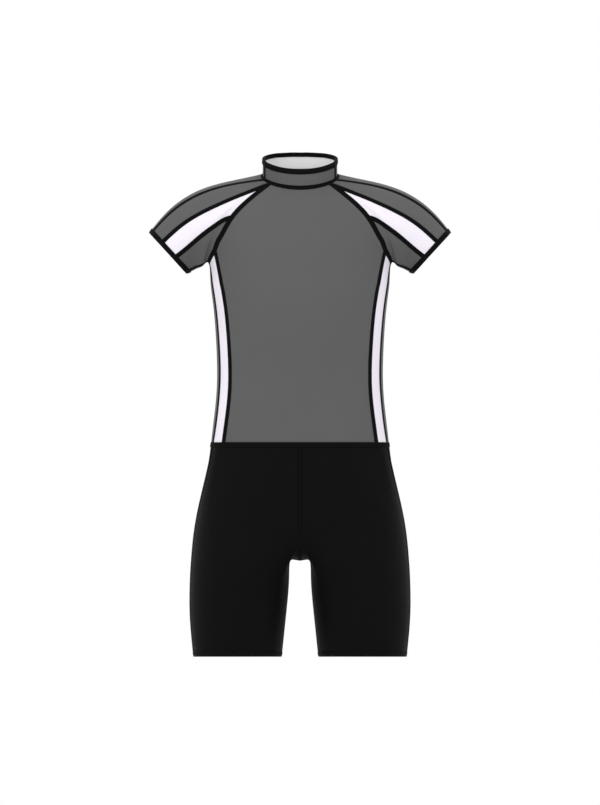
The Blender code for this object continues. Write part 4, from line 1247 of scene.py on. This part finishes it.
zip_sides = (["back_left", "collar_back_left"], ["back_right", "collar_back_right"])
rim_band = Band(open_line(COLLAR, "collar_binding"), (-BINDING_OVER, 0.0, BINDING_OUT), on_cloth=False)
rim_start_x = rim_band.at([TAPE_FAR], [0.0], [0.0])[0, 0]
zip_offsets = (-TAPE_FAR, -TAPE_FAR / 2, 0.0, TAPE_FAR / 2, TAPE_FAR)
zip_band = Band(seam_line(*zip_sides, "zip_tape_left"), zip_offsets)
for node in both_sides("zip_tape"):
    low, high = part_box(node)
    sign = math.copysign(1, (low.x + high.x) * zip_band.places[0, -1, 0])
    profile = [
        (sign * TAPE_NEAR, TAPE_FOOT), (sign * TAPE_NEAR, TAPE_TOP), (sign * TAPE_FAR / 2, TAPE_TOP),
        (sign * (TAPE_FAR - EDGE_IN), TAPE_TOP - EDGE_DROP), (sign * TAPE_FAR, TAPE_FOOT),
    ]
    run = runs_in_solid(zip_band, [sign * TAPE_FAR / 2], node)[sign * TAPE_FAR / 2]
    strip = strip_parts(zip_band, profile, {offset: run for offset, _ in profile})
    if (low.x + high.x) * rim_start_x > 0:
        fold_run = (FOLD_NEAR, TAPE_FAR)
    else:
        fold_run = (rim_band.length - TAPE_FAR, rim_band.length - FOLD_NEAR)
    profile = fold_profile()
    fold = strip_parts(rim_band, profile, {offset: fold_run for offset, _ in profile})
    tape = joined_piece(f"{node}_woven", [strip, fold], [tape_cloth, tape_cloth])
    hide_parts(node)
    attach(tape, "garment")
    print(f"{node}: {run[1] - run[0]:.3f} m")


def tooth():
    """One tooth: a bar whose inner end is thicker, with its edges rounded."""
    deselect_all()
    bpy.ops.mesh.primitive_cube_add(size=1.0, location=(TOOTH_LENGTH / 2 - TOOTH_LAP, 0, 0))
    piece = bpy.context.object
    piece.scale = (TOOTH_LENGTH, TOOTH_WIDTH, TOOTH_HEIGHT)
    bpy.ops.object.transform_apply(location=True, rotation=True, scale=True)
    bpy.ops.object.mode_set(mode="EDIT")
    bpy.ops.mesh.select_all(action="SELECT")
    bpy.ops.mesh.bisect(plane_co=(TOOTH_LENGTH * HEAD_END, 0, 0), plane_no=(1, 0, 0))
    bpy.ops.mesh.select_all(action="SELECT")
    bpy.ops.mesh.bevel(offset=TOOTH_BEVEL, segments=1, affect="EDGES")
    bpy.ops.object.mode_set(mode="OBJECT")
    for vertex in piece.data.vertices:
        if vertex.co.x > TOOTH_LENGTH * THIN_FROM:
            vertex.co.z *= THIN_HEIGHT
            vertex.co.y *= THIN_WIDTH
    return take_mesh(piece)


chain_run = runs_in_solid(zip_band, [0.0], "zip_chain")[0.0]
verts, faces = tooth()
base_height = (TAPE_TOP + CHAIN_TOP) / 2
rows_of_teeth, tooth_count = [], 0
for sign, shift in ((1, 0.0), (-1, TOOTH_PITCH / 2)):
    stations = np.arange(chain_run[0] + TOOTH_WIDTH + shift, chain_run[1] - TOOTH_WIDTH, TOOTH_PITCH)
    tooth_count += len(stations)
    template = (verts * (sign, 1, 1), faces)
    rows_of_teeth.append(carried(template, zip_band, stations, lambda x: np.full(x.shape, base_height)))
teeth = joined_piece("zip_teeth", rows_of_teeth, [nylon, nylon])
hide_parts("zip_chain")
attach(teeth, "garment")
print("zip teeth:", tooth_count, "on", round(float(chain_run[1] - chain_run[0]), 3), "m")

# %% [markdown]
# ### Slider, stop and pull tab
#
# These are small castings with worn, rounded edges. Their solids already have the right form, so each is a
# welded copy with a Bevel modifier. The pull tab keeps its own body, because it swings.

# %% Slider, stop and pull tab
# node: (body that it moves with, bevel)
CASTINGS = {
    "zip_slider": ("garment", 0.3 * MM),
    "zip_stop": ("garment", 0.3 * MM),
    "pull_tab": ("pull_tab", 0.25 * MM),
}
CAST_SEGMENTS = 2
CAST_ANGLE = math.radians(40)

for node, (body, bevel) in CASTINGS.items():
    piece = welded_copy(node, f"{node}_cast")
    rounding = piece.modifiers.new("rounding", "BEVEL")
    rounding.width = bevel
    rounding.segments = CAST_SEGMENTS
    rounding.limit_method = "ANGLE"
    work_on(piece)
    bpy.ops.object.modifier_apply(modifier="rounding")
    bpy.ops.object.shade_smooth_by_angle(angle=CAST_ANGLE)
    piece.data.materials.append(enamel)
    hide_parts(node)
    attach(piece, body)
    print(node, "has", len(piece.data.polygons), "faces")

# %% [markdown]

deselect_all()
